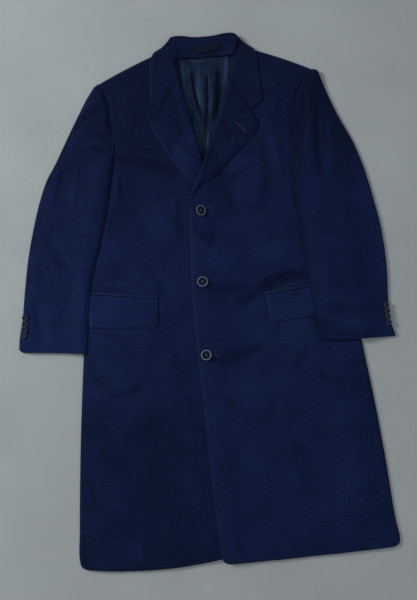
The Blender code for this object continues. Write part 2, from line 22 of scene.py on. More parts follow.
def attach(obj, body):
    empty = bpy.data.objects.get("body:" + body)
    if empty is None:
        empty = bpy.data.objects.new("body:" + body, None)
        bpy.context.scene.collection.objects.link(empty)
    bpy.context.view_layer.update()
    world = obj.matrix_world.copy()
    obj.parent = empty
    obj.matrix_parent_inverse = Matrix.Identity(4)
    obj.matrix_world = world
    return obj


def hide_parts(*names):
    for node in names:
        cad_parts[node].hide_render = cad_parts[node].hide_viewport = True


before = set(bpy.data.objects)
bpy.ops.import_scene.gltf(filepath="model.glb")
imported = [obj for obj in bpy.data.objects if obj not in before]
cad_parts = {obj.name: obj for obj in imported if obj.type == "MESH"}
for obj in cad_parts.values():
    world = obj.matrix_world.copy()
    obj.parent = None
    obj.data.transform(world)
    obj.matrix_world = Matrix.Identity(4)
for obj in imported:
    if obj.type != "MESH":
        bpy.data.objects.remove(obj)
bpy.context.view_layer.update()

log = logging.getLogger("overcoat")

MM = 0.001
PLAN_CENTRE = np.array((-37.5, 23.5))
BODY = "root"
CURVE_STEPS = 24
STITCH_INSET = 5.2
STITCHED_FINE = (0.0, 0.8, 2.0, 3.2, 4.2, STITCH_INSET, 6.2, 7.6)
FOLD_POINTS = 11
FOLD_REACH = 1.4
FOLD_LEAN = 0.22
FOLD_WIDENS = 0.4
FOLD_UNEVEN = 0.14
FOLD_FADE = 0.3
WAVE_COUNT = 14
WAVE_BEND = (0.6, 1.4)
WAVE_DRIFT = 0.37
WAVE_SUM = 4.0
SHORTEST_WAVE = 0.28
PRESSED_IN = 0.12
RIM_INSET = 1.6
RIM_ANGLES = (55.0, 18.0, -18.0, -55.0)

Colour = tuple[float, float, float]


class Dyed:
    """The output of a shader node, with Python's operators standing for Math nodes."""

    def __init__(self, dye: "DyeTree", socket: bpy.types.NodeSocket) -> None:
        """Wrap one output socket.

        Args:
            dye: the tree that the socket is in.
            socket: the output socket.
        """
        self.dye = dye
        self.socket = socket

    def _maths(self, operation: str, first: Any, second: Any = 0.0) -> "Dyed":
        """One Math node. Args: its operation and its two values. Returns: its output."""
        return self.dye.node("ShaderNodeMath", {"operation": operation}, {0: first, 1: second})

    def __add__(self, other: Any) -> "Dyed":
        """The sum of two values."""
        return self._maths("ADD", self, other)

    def __radd__(self, other: Any) -> "Dyed":
        """The sum, with a number on the left."""
        return self._maths("ADD", other, self)

    def __sub__(self, other: Any) -> "Dyed":
        """The difference of two values."""
        return self._maths("SUBTRACT", self, other)

    def __rsub__(self, other: Any) -> "Dyed":
        """The difference, with a number on the left."""
        return self._maths("SUBTRACT", other, self)

    def __mul__(self, other: Any) -> "Dyed":
        """The product of two values."""
        return self._maths("MULTIPLY", self, other)

    def __rmul__(self, other: Any) -> "Dyed":
        """The product, with a number on the left."""
        return self._maths("MULTIPLY", other, self)

    def held(self, low: float, high: float) -> "Dyed":
        """The value mapped from low..high to 0..1 and held there, with soft ends.

        Args:
            low: the value that becomes 0.
            high: the value that becomes 1.

        Returns:
            The mapped value.
        """
        settings = {"interpolation_type": "SMOOTHSTEP"}
        return self.dye.node("ShaderNodeMapRange", settings, {0: self, 1: low, 2: high, 3: 0.0, 4: 1.0})


def plug(tree: bpy.types.NodeTree, socket: bpy.types.NodeSocket, value: Any) -> None:
    """Link an input to another node's output, or set it. Args: the tree, the input, its value or link."""
    if isinstance(value, Dyed):
        value = value.socket
    if isinstance(value, bpy.types.NodeSocket):
        tree.links.new(value, socket)
    else:
        socket.default_value = value


def add_node(tree: bpy.types.NodeTree, kind: str, settings: dict[str, Any] | None,
             sockets: dict[Any, Any] | None) -> bpy.types.Node:
    """Make one node, set it and wire it.

    Args:
        tree: the tree that it joins.
        kind: the node's type.
        settings: its properties, set before its sockets.
        sockets: values or links of its inputs, by number or name.

    Returns:
        The node.
    """
    made = tree.nodes.new(kind)
    for key, value in (settings or {}).items():
        setattr(made, key, value)
    for key, value in (sockets or {}).items():
        plug(tree, made.inputs[key], value)
    return made


class DyeTree:
    """The nodes of one material."""

    def __init__(self, name: str) -> None:
        """Make an empty material. Args: its name."""
        self.material = bpy.data.materials.new(name)
        self.material.use_nodes = True
        self.tree = self.material.node_tree
        self.shader = self.tree.nodes["Principled BSDF"]

    def node(self, kind: str, settings: dict[str, Any] | None = None, sockets: dict[Any, Any] | None = None,
             out: int = 0) -> Dyed:
        """Add a node. Args: its type, settings, sockets and which output is wanted. Returns: the output."""
        return Dyed(self, add_node(self.tree, kind, settings, sockets).outputs[out])

    def finish(self, constants: dict[str, Any], varying: dict[str, Any]) -> bpy.types.Material:
        """Set the Principled shader.

        Args:
            constants: numbers and colours that are the same all over.
            varying: what changes over the surface.

        Returns:
            The material.
        """
        for key, value in {**constants, **varying}.items():
            plug(self.tree, self.shader.inputs[key], value)
        return self.material

    def place(self) -> Dyed:
        """Where a point is on the coat, in metres."""
        return self.node("ShaderNodeTexCoord", out=3)

    def grain(self) -> Dyed:
        """Where a point is on its own piece of cloth, across and along its warp, in metres."""
        return self.node("ShaderNodeUVMap", {"uv_map": "warp"})

    def scaled(self, where: Dyed, scale: tuple[float, float, float]) -> Dyed:
        """A place with its axes scaled. Args: the place and the scale of each axis. Returns: it, scaled."""
        return self.node("ShaderNodeMapping", {}, {"Vector": where, "Scale": scale})

    def noise(self, where: Dyed, scale: float, detail: float = 2.0, rough: float = 0.5) -> Dyed:
        """Soft noise about 0.5.

        Args:
            where: the place that it is read at.
            scale: its blobs in one metre.
            detail: how many finer layers it has.
            rough: how strong the finer layers are.

        Returns:
            Its value.
        """
        sockets = {"Vector": where, "Scale": scale, "Detail": detail, "Roughness": rough}
        return self.node("ShaderNodeTexNoise", {"noise_dimensions": "3D"}, sockets)

    def mark(self, name: str) -> Dyed:
        """What a piece's mesh marks at each point. Args: the mark's name. Returns: its value."""
        return self.node("ShaderNodeAttribute", {"attribute_name": name}, out=2)

    def blend(self, factor: Any, first: Any, second: Any) -> Dyed:
        """Mix two colours. Args: the factor and the colours at 0 and 1. Returns: the mixed colour."""
        return self.node("ShaderNodeMix", {"data_type": "RGBA"}, {0: factor, 6: first, 7: second}, out=2)

    def bump(self, height: Dyed, distance: float, strength: float = 1.0) -> Dyed:
        """A bumped normal. Args: the height, 0 to 1, its depth in metres and its strength. Returns: it."""
        return self.node("ShaderNodeBump", {}, {"Height": height, "Distance": distance, "Strength": strength})


def shade(colour: Colour, factor: float = 1.0) -> tuple[float, float, float, float]:
    """A colour made lighter or darker. Args: the colour and the factor. Returns: it, with its alpha."""
    return (colour[0] * factor, colour[1] * factor, colour[2] * factor, 1.0)


@dataclass(frozen=True)
class FeltedWool:
    """Heavy navy overcoating, milled and brushed so that its nap lies down the coat."""

    name: str = "navy_wool"
    colour: Colour = (0.0045, 0.0110, 0.0490)
    # worn edges, lighter partly from wear and partly as a painted highlight
    worn_and_lit: Colour = (0.0128, 0.0250, 0.0850)
    mottle: float = 210.0
    cloud: float = 75.0
    patch: float = 13.0
    nap: tuple[float, float, float] = (1400.0, 330.0, 700.0)
    fuzz: float = 900.0
    nap_depth: float = 0.00042
    nap_share: float = 0.34
    fuzz_share: float = 0.16
    mottle_share: float = 0.78
    cloud_share: float = 0.30
    patch_share: float = 0.50
    # painted shading: fold crests painted lighter and troughs darker, with each piece's painted lightness
    shading_share: float = 0.18
    shading_mottle: float = 0.24
    lift: float = 0.01
    # painted shade: the cloth is darkened towards the collar and towards the left sleeve
    top_shade_share: float = 0.42
    darkest: float = 0.52
    lightest: float = 1.62
    # share of wear and painted highlight on the edges
    rub_and_highlight_share: float = 0.75
    rub_nap: float = 0.10

    def make(self) -> bpy.types.Material:
        """Dye the cloth. Returns: the material."""
        dye = DyeTree(self.name)
        where = dye.place()
        nap = dye.noise(dye.scaled(dye.grain(), self.nap), 1.0, 3.0, 0.62)
        fuzz = dye.noise(where, self.fuzz, 2.0, 0.6)
        mottle = dye.noise(where, self.mottle, 2.0, 0.6)
        cloud = dye.noise(where, self.cloud, 3.0, 0.6)
        patch = dye.noise(where, self.patch, 2.0, 0.5)
        wear_and_highlight = dye.mark("wear_and_highlight")
        # painted shading of the folds and pieces, read from the mesh
        painted_shading = dye.mark("painted_shading")
        tone = nap * self.nap_share + fuzz * self.fuzz_share + mottle * self.mottle_share
        tone = tone + cloud * self.cloud_share + patch * self.patch_share
        tone = tone + painted_shading * (self.shading_share + mottle * self.shading_mottle) + self.lift
        up = dye.node("ShaderNodeSeparateXYZ", {}, {"Vector": where}, out=1)
        across = dye.node("ShaderNodeSeparateXYZ", {}, {"Vector": where}, out=0)
        # painted shade, darker towards the collar and towards the left sleeve
        top_shade = (up - across * 0.5).held(0.08, 0.62)
        tone = (tone - top_shade * self.top_shade_share).held(0.55, 1.5)
        colour = dye.blend(tone, shade(self.colour, self.darkest), shade(self.colour, self.lightest))
        # edges lightened partly by wear and partly by a painted highlight
        colour = dye.blend(wear_and_highlight * self.rub_and_highlight_share + nap.held(0.66, 0.8) * self.rub_nap, colour,
                           shade(self.worn_and_lit))
        height = nap * 0.6 + fuzz * 0.4
        return dye.finish(
            {"Sheen Weight": 0.10, "Sheen Roughness": 0.5, "Sheen Tint": (0.20, 0.36, 0.95, 1.0),
             "Specular IOR Level": 0.11, "Specular Tint": (0.8, 0.92, 1.0, 1.0)},
            {"Base Color": colour, "Roughness": 0.84 + nap * 0.12,
             "Normal": dye.bump(height, self.nap_depth, 0.75)})


@dataclass(frozen=True)
class SatinLining:
    """Dark blue satin that catches the light along its folds, with painted highlights on the fold crests and
    painted shade in the troughs.
    """

    name: str = "navy_satin"
    colour: Colour = (0.0070, 0.0140, 0.0330)
    rib: tuple[float, float, float] = (2600.0, 500.0, 500.0)
    cloud: float = 60.0
    darkest: float = 0.12
    lightest: float = 2.3
    rib_depth: float = 0.00006

    def make(self) -> bpy.types.Material:
        """Dye the satin. Returns: the material."""
        dye = DyeTree(self.name)
        rib = dye.noise(dye.scaled(dye.grain(), self.rib), 1.0, 1.0, 0.5)
        cloud = dye.noise(dye.place(), self.cloud, 2.0, 0.5)
        # painted shading of the lining's folds: crests painted lighter, troughs darker
        painted_shading = dye.mark("painted_shading")
        tone = rib * 0.3 + cloud * 0.7 + painted_shading
        tone = tone.held(-0.2, 1.2)
        colour = dye.blend(tone, shade(self.colour, self.darkest), shade(self.colour, self.lightest))
        return dye.finish({"Specular IOR Level": 0.20, "Specular Tint": (0.22, 0.40, 0.80, 1.0)},
                          {"Base Color": colour, "Roughness": 0.40 + cloud * 0.16,
                           "Normal": dye.bump(rib, self.rib_depth, 0.5)})


@dataclass(frozen=True)
class WovenLabel:
    """The bare woven label at the back of the neck, with its fine cross ribs."""

    name: str = "woven_label"
    colour: Colour = (0.0024, 0.0050, 0.0150)
    rib: tuple[float, float, float] = (900.0, 4200.0, 900.0)
    rib_depth: float = 0.00012

    def make(self) -> bpy.types.Material:
        """Dye the label. Returns: the material."""
        dye = DyeTree(self.name)
        rib = dye.noise(dye.scaled(dye.grain(), self.rib), 1.0, 1.0, 0.5)
        colour = dye.blend(rib.held(0.3, 0.7), shade(self.colour, 0.7), shade(self.colour, 1.6))
        return dye.finish({"Specular IOR Level": 0.15},
                          {"Base Color": colour, "Roughness": 0.70 + rib * 0.14,
                           "Normal": dye.bump(rib, self.rib_depth, 0.8)})


@dataclass(frozen=True)
class PolishedButton:
    """Dark blue-black button stock with a faint swirl, and a painted highlight on its rim."""

    name: str = "dark_button"
    colour: Colour = (0.0022, 0.0045, 0.0075)
    swirl: Colour = (0.0065, 0.0100, 0.0160)
    # painted highlight: the pale rim colour stands for the light the rim catches
    rim: Colour = (0.1700, 0.2000, 0.2900)
    turn: float = 130.0
    scratch: tuple[float, float, float] = (2500.0, 400.0, 900.0)
    scratch_depth: float = 0.00003

    def make(self) -> bpy.types.Material:
        """Colour the stock. Returns: the material."""
        dye = DyeTree(self.name)
        where = dye.place()
        turn = dye.noise(where, self.turn, 4.0, 0.6)
        scratch = dye.noise(dye.scaled(where, self.scratch), 1.0, 2.0, 0.6)
        wear_and_highlight = dye.mark("wear_and_highlight")
        colour = dye.blend(turn.held(0.5, 0.72), shade(self.colour), shade(self.swirl))
        # painted highlight on the raised rim
        colour = dye.blend(wear_and_highlight * (0.70 + turn * 0.30), colour, shade(self.rim))
        return dye.finish({"Specular IOR Level": 0.12, "Specular Tint": (0.7, 0.85, 1.0, 1.0),
                           "Coat Roughness": 0.25},
                          {"Base Color": colour, "Roughness": 0.34 + scratch * 0.16,
                           "Normal": dye.bump(scratch, self.scratch_depth, 0.4), "Coat Weight": 0.08})


@dataclass(frozen=True)
class SewingThread:
    """Twisted navy thread, a little lighter than the wool."""

    name: str = "navy_thread"
    colour: Colour = (0.0240, 0.0350, 0.0900)
    ply: float = 2400.0
    ply_depth: float = 0.0001

    def make(self) -> bpy.types.Material:
        """Dye the thread. Returns: the material."""
        dye = DyeTree(self.name)
        ply = dye.noise(dye.place(), self.ply, 1.0, 0.5)
        colour = dye.blend(ply.held(0.3, 0.7), shade(self.colour, 0.7), shade(self.colour, 1.3))
        return dye.finish({"Sheen Weight": 0.15, "Specular IOR Level": 0.4},
                          {"Base Color": colour, "Roughness": 0.55 + ply * 0.15,
                           "Normal": dye.bump(ply, self.ply_depth, 0.6)})


@dataclass(frozen=True)
class PaleFloor:
    """The plain pale surface that the coat lies on."""

    name: str = "pale_floor"
    colour: Colour = (0.4000, 0.4350, 0.4400)
    weave: float = 900.0
    cloud: float = 5.0
    weave_depth: float = 0.0002

    def make(self) -> bpy.types.Material:
        """Colour the floor. Returns: the material."""
        dye = DyeTree(self.name)
        where = dye.place()
        weave = dye.noise(where, self.weave, 2.0, 0.6)
        cloud = dye.noise(where, self.cloud, 2.0, 0.5)
        tone = weave * 0.4 + cloud * 0.6
        colour = dye.blend(tone.held(0.25, 0.75), shade(self.colour, 0.93), shade(self.colour, 1.07))
        return dye.finish({"Specular IOR Level": 0.2},
                          {"Base Color": colour, "Roughness": 0.9 + weave * 0.05,
                           "Normal": dye.bump(weave, self.weave_depth, 0.3)})


class Cloth(Enum):
    """The finishes that the coat is made of."""

    WOOL = "wool"
    LINING = "lining"
    LABEL = "label"
    BUTTON = "button"


class Wardrobe:
    """Every finish, dyed once."""

    def __init__(self) -> None:
        """Dye all the finishes."""
        self.by_cloth = {Cloth.WOOL: FeltedWool().make(), Cloth.LINING: SatinLining().make(),
                         Cloth.LABEL: WovenLabel().make(), Cloth.BUTTON: PolishedButton().make()}
        self.thread = SewingThread().make()
        self.floor = PaleFloor().make()


class Section(NamedTuple):
    """One line across a piece: both its ends, how far its middle sags, and whether it is a corner."""

    left_x: float
    left_y: float
    right_x: float
    right_y: float
    sag: float = 0.0
    corner: bool = False


class Fold(NamedTuple):
    """One soft fold: three plan points on it, its half width, and its height, below 0 in a trough."""

    start_x: float
    start_y: float
    middle_x: float
    middle_y: float
    end_x: float
    end_y: float
    half_width: float
    height: float


def plan_of(*rows: tuple[float, ...]) -> tuple[Section, ...]:
    """A piece's plan. Args: its sections in order, as bare numbers. Returns: the sections."""
    return tuple(Section(*row) for row in rows)


def folds_of(*rows: tuple[float, ...]) -> tuple[Fold, ...]:
    """A piece's folds. Args: the folds, as bare numbers. Returns: the folds."""
    return tuple(Fold(*row) for row in rows)


def soft(value: np.ndarray | float) -> np.ndarray:
    """Rise from 0 to 1 with the value, with no corner at either end. Args: the value. Returns: the rise."""
    held = np.clip(value, 0.0, 1.0)
    return held * held * (3.0 - 2.0 * held)


class Ramp(NamedTuple):
    """A soft rise along a distance, from 0 where it starts to 1, or a fall if it runs down.

    Its start and length are in the distance's own unit, and its lead is how far on it is at its start.
    """

    start: float
    length: float
    lead: float = 0.0

    def at(self, distance: np.ndarray) -> np.ndarray:
        """How far it has risen. Args: the distances. Returns: 0 to 1."""
        return soft((distance - self.start) / self.length + self.lead)


def curve_through(points: Sequence[tuple[float, float]], corners: Sequence[bool]) -> np.ndarray:
    """A smooth curve through every point.

    Args:
        points: plan points.
        corners: whether the curve may turn sharply at each point.

    Returns:
        The points of the curve.
    """
    knots = np.array(points, dtype=float)
    span = np.maximum(np.hypot(*(knots[1:] - knots[:-1]).T), 1e-6)
    slope = (knots[1:] - knots[:-1]) / span[:, None]
    t = (np.arange(CURVE_STEPS) / CURVE_STEPS)[:, None]
    curve = []
    for i in range(len(span)):
        before = slope[i] if i == 0 or corners[i] else slope[i - 1:i + 1].mean(axis=0)
        after = slope[i] if i + 1 == len(span) or corners[i + 1] else slope[i:i + 2].mean(axis=0)
        lead = (1 + 2 * t) * (1 - t) ** 2 * knots[i] + t * t * (3 - 2 * t) * knots[i + 1]
        curve.append(lead + span[i] * (t * (1 - t) ** 2 * before - t * t * (1 - t) * after))
    return np.concatenate([*curve, knots[-1:]])


def run_length(line: np.ndarray) -> np.ndarray:
    """Length along a line from its start. Args: the line, its points along axis 0. Returns: the lengths."""
    steps = np.sqrt(((line[1:] - line[:-1]) ** 2).sum(axis=-1))
    return np.concatenate([np.zeros_like(steps[:1]), np.cumsum(steps, axis=0)])


def stations(length: float, pitch: float, fine: Sequence[float]) -> np.ndarray:
    """Places along a length: close together at both ends, and a pitch apart between them.

    Args:
        length: the whole length.
        pitch: the distance between places in the middle.
        fine: distances from each end of the places near it, from 0 upwards.

    Returns:
        The places, from 0 to the length.
    """
    near = [f for f in fine if f < 0.5 * length - 0.5 * pitch] or [0.0]
    count = max(1, round((length - 2.0 * near[-1]) / pitch))
    middle = np.linspace(near[-1], length - near[-1], count + 1)
    return np.concatenate([near[:-1], middle, length - np.array(near[:-1][::-1])])


def fold_relief(folds: Sequence[Fold], x: np.ndarray, y: np.ndarray) -> np.ndarray:
    """Height of a table of folds. Each fades across its width and at its ends, a little unevenly.

    Args:
        folds: the table.
        x: plan points.
        y: plan points.

    Returns:
        The height over each point.
    """
    total = np.zeros_like(x)
    t = np.linspace(0.0, 1.0, FOLD_POINTS)[:, None]
    for number, fold in enumerate(folds):
        start, middle, end = (np.array(fold[k:k + 2]) for k in (0, 2, 4))
        bend = 2.0 * middle - 0.5 * (start + end)
        path = (1 - t) ** 2 * start + 2 * t * (1 - t) * bend + t * t * end
        reach = FOLD_REACH * fold.half_width
        close = ((x > path[:, 0].min() - reach) & (x < path[:, 0].max() + reach)
                 & (y > path[:, 1].min() - reach) & (y < path[:, 1].max() + reach))
        px, py = x[close], y[close]
        nearest, along, side = np.full(px.shape, np.inf), np.zeros_like(px), np.zeros_like(px)
        for k in range(len(path) - 1):
            run = path[k + 1] - path[k]
            share = np.clip(((px - path[k, 0]) * run[0] + (py - path[k, 1]) * run[1]) / (run @ run), 0.0, 1.0)
            gap_x, gap_y = px - path[k, 0] - share * run[0], py - path[k, 1] - share * run[1]
            gap = np.hypot(gap_x, gap_y)
            better = gap < nearest
            nearest = np.where(better, gap, nearest)
            along = np.where(better, (k + share) / (len(path) - 1), along)
            side = np.where(better, np.sign(run[0] * gap_y - run[1] * gap_x), side)
        lean = 1.0 + FOLD_LEAN * side * (1 if number % 2 else -1)
        width = fold.half_width * lean * (1.0 + FOLD_WIDENS * (soft(along) - 0.5))
        uneven = 1.0 - FOLD_UNEVEN * (1.0 - np.sin(6.0 * along + 1.7 * number))
        height = fold.height * uneven * soft(along / FOLD_FADE) * soft((1.0 - along) / FOLD_FADE)
        total[close] += height * soft(1.0 - nearest / width)
    return total


def unevenness(x: np.ndarray, y: np.ndarray, seed: int, height: float, longest: float = 130.0) -> np.ndarray:
    """Faint waves of cloth that was worn and pressed, never the same in two places.

    Args:
        x: plan points.
        y: plan points.
        seed: which set of waves.
        height: their height, in millimetres.
        longest: the longest wave, in millimetres.

    Returns:
        The height over each point, about 0.
    """
    random = np.random.default_rng(seed)
    total = np.zeros_like(x)
    for wave in np.geomspace(longest * SHORTEST_WAVE, longest, WAVE_COUNT):
        turn, phase = random.uniform(0.0, math.tau, 2)
        bend = random.uniform(*WAVE_BEND)
        run = (x * math.cos(turn) + y * math.sin(turn)) * math.tau / wave
        total += wave / longest * np.sin(run + phase + bend * np.sin(WAVE_DRIFT * run + 2.1 * phase))
    return height * total / WAVE_SUM


class Pile:
    """The heap of pieces laid so far: for each, a map of the heights of its top."""

    CORNER = (-500.0, -620.0)
    CELL = 3.0
    SIZE = (306, 424)

    def __init__(self) -> None:
        """Start with nothing laid."""
        self.tops: dict[str, np.ndarray] = {}

    def cells(self, x: np.ndarray, y: np.ndarray) -> tuple[np.ndarray, np.ndarray]:
        """Where points are on the map, in cells. Args: plan points. Returns: both places, not rounded."""
        return (x - self.CORNER[0]) / self.CELL, (y - self.CORNER[1]) / self.CELL

    def keep(self, name: str, xy: np.ndarray, top: np.ndarray) -> None:
        """Keep the top of a laid piece.

        Args:
            name: its name.
            xy: its plan points, rows by columns.
            top: its heights.
        """
        widest = max(np.hypot(*(xy[1:] - xy[:-1]).reshape(-1, 2).T).max(),
                     np.hypot(*(xy[:, 1:] - xy[:, :-1]).reshape(-1, 2).T).max())
        steps = max(2, math.ceil(widest / self.CELL) + 1)
        whole = np.dstack([xy, top])
        shares = np.arange(steps + 1) / steps
        found = np.full(self.SIZE, -np.inf)
        for down in shares:
            for across in shares:
                upper = whole[:-1, :-1] * (1 - across) + whole[:-1, 1:] * across
                lower = whole[1:, :-1] * (1 - across) + whole[1:, 1:] * across
                point = upper * (1 - down) + lower * down
                i, j = self.cells(point[..., 0], point[..., 1])
                np.maximum.at(found, (np.rint(i).astype(int), np.rint(j).astype(int)), point[..., 2])
        self.tops[name] = found

    def ground(self, names: Sequence[str], gap: float, grow: int = 2) -> np.ndarray:
        """The height that a piece must clear, over the floor and over the named pieces.

        Args:
            names: the pieces that it may lie on.
            gap: the room kept over them.
            grow: how many cells they are spread by, so that their edges are cleared.

        Returns:
            The map, with its steps softened.
        """
        found = np.zeros(self.SIZE)
        for name in names:
            found = np.maximum(found, self.tops[name] + gap)
        for _ in range(grow):
            padded = np.pad(found, 1, mode="edge")
            wide = np.maximum(np.maximum(padded[:-2], padded[1:-1]), padded[2:])
            found = np.maximum(np.maximum(wide[:, :-2], wide[:, 1:-1]), wide[:, 2:])
        for _ in range(grow):
            padded = np.pad(found, 1, mode="edge")
            wide = 0.25 * padded[:-2] + 0.5 * padded[1:-1] + 0.25 * padded[2:]
            found = 0.25 * wide[:, :-2] + 0.5 * wide[:, 1:-1] + 0.25 * wide[:, 2:]
        return found

    def read(self, ground: np.ndarray, x: np.ndarray, y: np.ndarray) -> np.ndarray:
        """Heights of a map at plan points. Args: the map and the points. Returns: the heights."""
        i, j = self.cells(x, y)
        i = np.clip(i, 0, self.SIZE[0] - 1.001)
        j = np.clip(j, 0, self.SIZE[1] - 1.001)
        a, b = i.astype(int), j.astype(int)
        u, v = i - a, j - b
        near = ground[a, b] * (1 - u) + ground[a + 1, b] * u
        far = ground[a, b + 1] * (1 - u) + ground[a + 1, b + 1] * u
        return near * (1 - v) + far * v


def evened(heights: np.ndarray) -> np.ndarray:
    """Heights of a grid, each drawn towards its four neighbours. Args: the heights. Returns: the new ones."""
    net = np.pad(heights, 1, mode="edge")
    sides = net[:-2, 1:-1] + net[2:, 1:-1] + net[1:-1, :-2] + net[1:-1, 2:]
    return 0.5 * heights + 0.125 * sides


def draped(need: np.ndarray, pitch: float, reach: float) -> np.ndarray:
    """Heights of cloth that lies on the heights needed and bridges their steps.

    Args:
        need: the heights that it must clear.
        pitch: the distance between points.
        reach: how far it bridges beside a step.

    Returns:
        The heights.
    """
    heights = need.copy()
    for _ in range(int((2.0 * reach / pitch) ** 2) + 1):
        heights = np.maximum(need, evened(heights))
    return np.maximum(evened(evened(heights)), need - PRESSED_IN)


@dataclass
class Spot:
    """Where the points of a piece are: in plan, and from each of its edges, all in millimetres."""

    x: np.ndarray
    y: np.ndarray
    from_left: np.ndarray
    from_right: np.ndarray
    from_head: np.ndarray
    from_foot: np.ndarray

    @classmethod
    def of(cls, xy: np.ndarray) -> "Spot":
        """Measure a grid. Args: its plan points, rows by columns. Returns: the distances."""
        across = run_length(xy.transpose(1, 0, 2)).T
        down = run_length(xy)
        return cls(xy[..., 0], xy[..., 1], across, across[:, -1:] - across, down, down[-1:] - down)

    @property
    def across(self) -> np.ndarray:
        """The share of the way from the left edge to the right one."""
        return self.from_left / (self.from_left + self.from_right)

    @property
    def down(self) -> np.ndarray:
        """The share of the way from the head to the foot."""
        return self.from_head / (self.from_head + self.from_foot)

    def from_edge(self, side: str) -> np.ndarray:
        """Distance from one edge. Args: left, right, head or foot. Returns: the distance."""
        return getattr(self, "from_" + side)

    def from_sides(self) -> np.ndarray:
        """Distance from the nearer side edge."""
        return np.minimum(self.from_left, self.from_right)


def shell_mesh(name: str, xy: np.ndarray, under: np.ndarray, top: np.ndarray,
               marks: dict[str, np.ndarray]) -> bpy.types.Mesh:
    """A closed wall of cloth with a rounded rim.

    Args:
        name: the mesh's name.
        xy: plan points, rows by columns, in millimetres.
        under: heights of the underside.
        top: heights of the top.
        marks: what the dyes are told of each point, by name.

    Returns:
        The mesh, in metres in the coat's frame.
    """
    rows, columns = top.shape
    index = np.arange(rows * columns).reshape(rows, columns)
    rim = np.concatenate([index[0, :-1], index[:-1, -1], index[-1, :0:-1], index[:0:-1, 0]])
    flat = xy.reshape(-1, 2).copy()
    loop = flat[rim]
    ahead = np.roll(loop, -1, axis=0) - np.roll(loop, 1, axis=0)
    area = 0.5 * (loop[:, 0] * np.roll(loop[:, 1], -1) - np.roll(loop[:, 0], -1) * loop[:, 1]).sum()
    turn = 1.0 if area > 0.0 else -1.0
    outward = turn * np.stack([ahead[:, 1], -ahead[:, 0]], 1) / np.maximum(np.hypot(*ahead.T), 1e-6)[:, None]
    half = 0.5 * (top - under).ravel()[rim]
    middle = 0.5 * (top + under).ravel()[rim]
    inset = np.minimum(half, RIM_INSET)
    flat[rim] = loop - outward * inset[:, None]
    points = [np.column_stack([flat, top.ravel()]), np.column_stack([flat, under.ravel()])]
    for angle in (math.radians(a) for a in RIM_ANGLES):
        ring = flat[rim] + outward * (inset * math.cos(angle))[:, None]
        points.append(np.column_stack([ring, middle + half * math.sin(angle)]))
    count, edge = rows * columns, len(rim)
    quads = np.stack([index[:-1, :-1], index[:-1, 1:], index[1:, 1:], index[1:, :-1]], -1).reshape(-1, 4)
    upper = quads if turn > 0 else quads[:, ::-1]
    lower = count + (quads[:, ::-1] if turn > 0 else quads)
    chain = [rim, *(2 * count + k * edge + np.arange(edge) for k in range(len(RIM_ANGLES))), count + rim]
    faces = [upper, lower]
    for above, below in zip(chain, chain[1:]):
        strip = np.stack([above, below, np.roll(below, -1), np.roll(above, -1)], 1)
        faces.append(strip if turn > 0 else strip[:, ::-1])
    corners = np.concatenate(faces)
    verts = np.concatenate(points)
    verts[:, :2] -= PLAN_CENTRE
    mesh = bpy.data.meshes.new(name)
    mesh.from_pydata((verts * MM).tolist(), [], corners.tolist())
    mesh.polygons.foreach_set("use_smooth", np.ones(len(corners), dtype=bool))
    spot = Spot.of(xy)
    warp = np.column_stack([spot.from_left.ravel(), spot.from_head.ravel()]) * MM
    warp = np.concatenate([warp, warp, *[warp[rim]] * len(RIM_ANGLES)])
    layer = mesh.uv_layers.new(name="warp")
    layer.data.foreach_set("uv", warp[corners.ravel()].astype(np.float32).ravel())
    for mark, values in marks.items():
        flat_values = values.ravel()
        flat_values = np.concatenate([flat_values, flat_values, *[flat_values[rim]] * len(RIM_ANGLES)])
        mesh.attributes.new(mark, "FLOAT", "POINT").data.foreach_set("value", flat_values.astype(np.float32))
    mesh.update()
    return mesh


def put_out(mesh: bpy.types.Mesh, finish: bpy.types.Material) -> bpy.types.Object:
    """Link a finished mesh. Args: the mesh and its finish. Returns: the object, at the origin."""
    mesh.materials.clear()
    mesh.materials.append(finish)
    made = bpy.data.objects.new(mesh.name, mesh)
    bpy.context.scene.collection.objects.link(made)
    return made


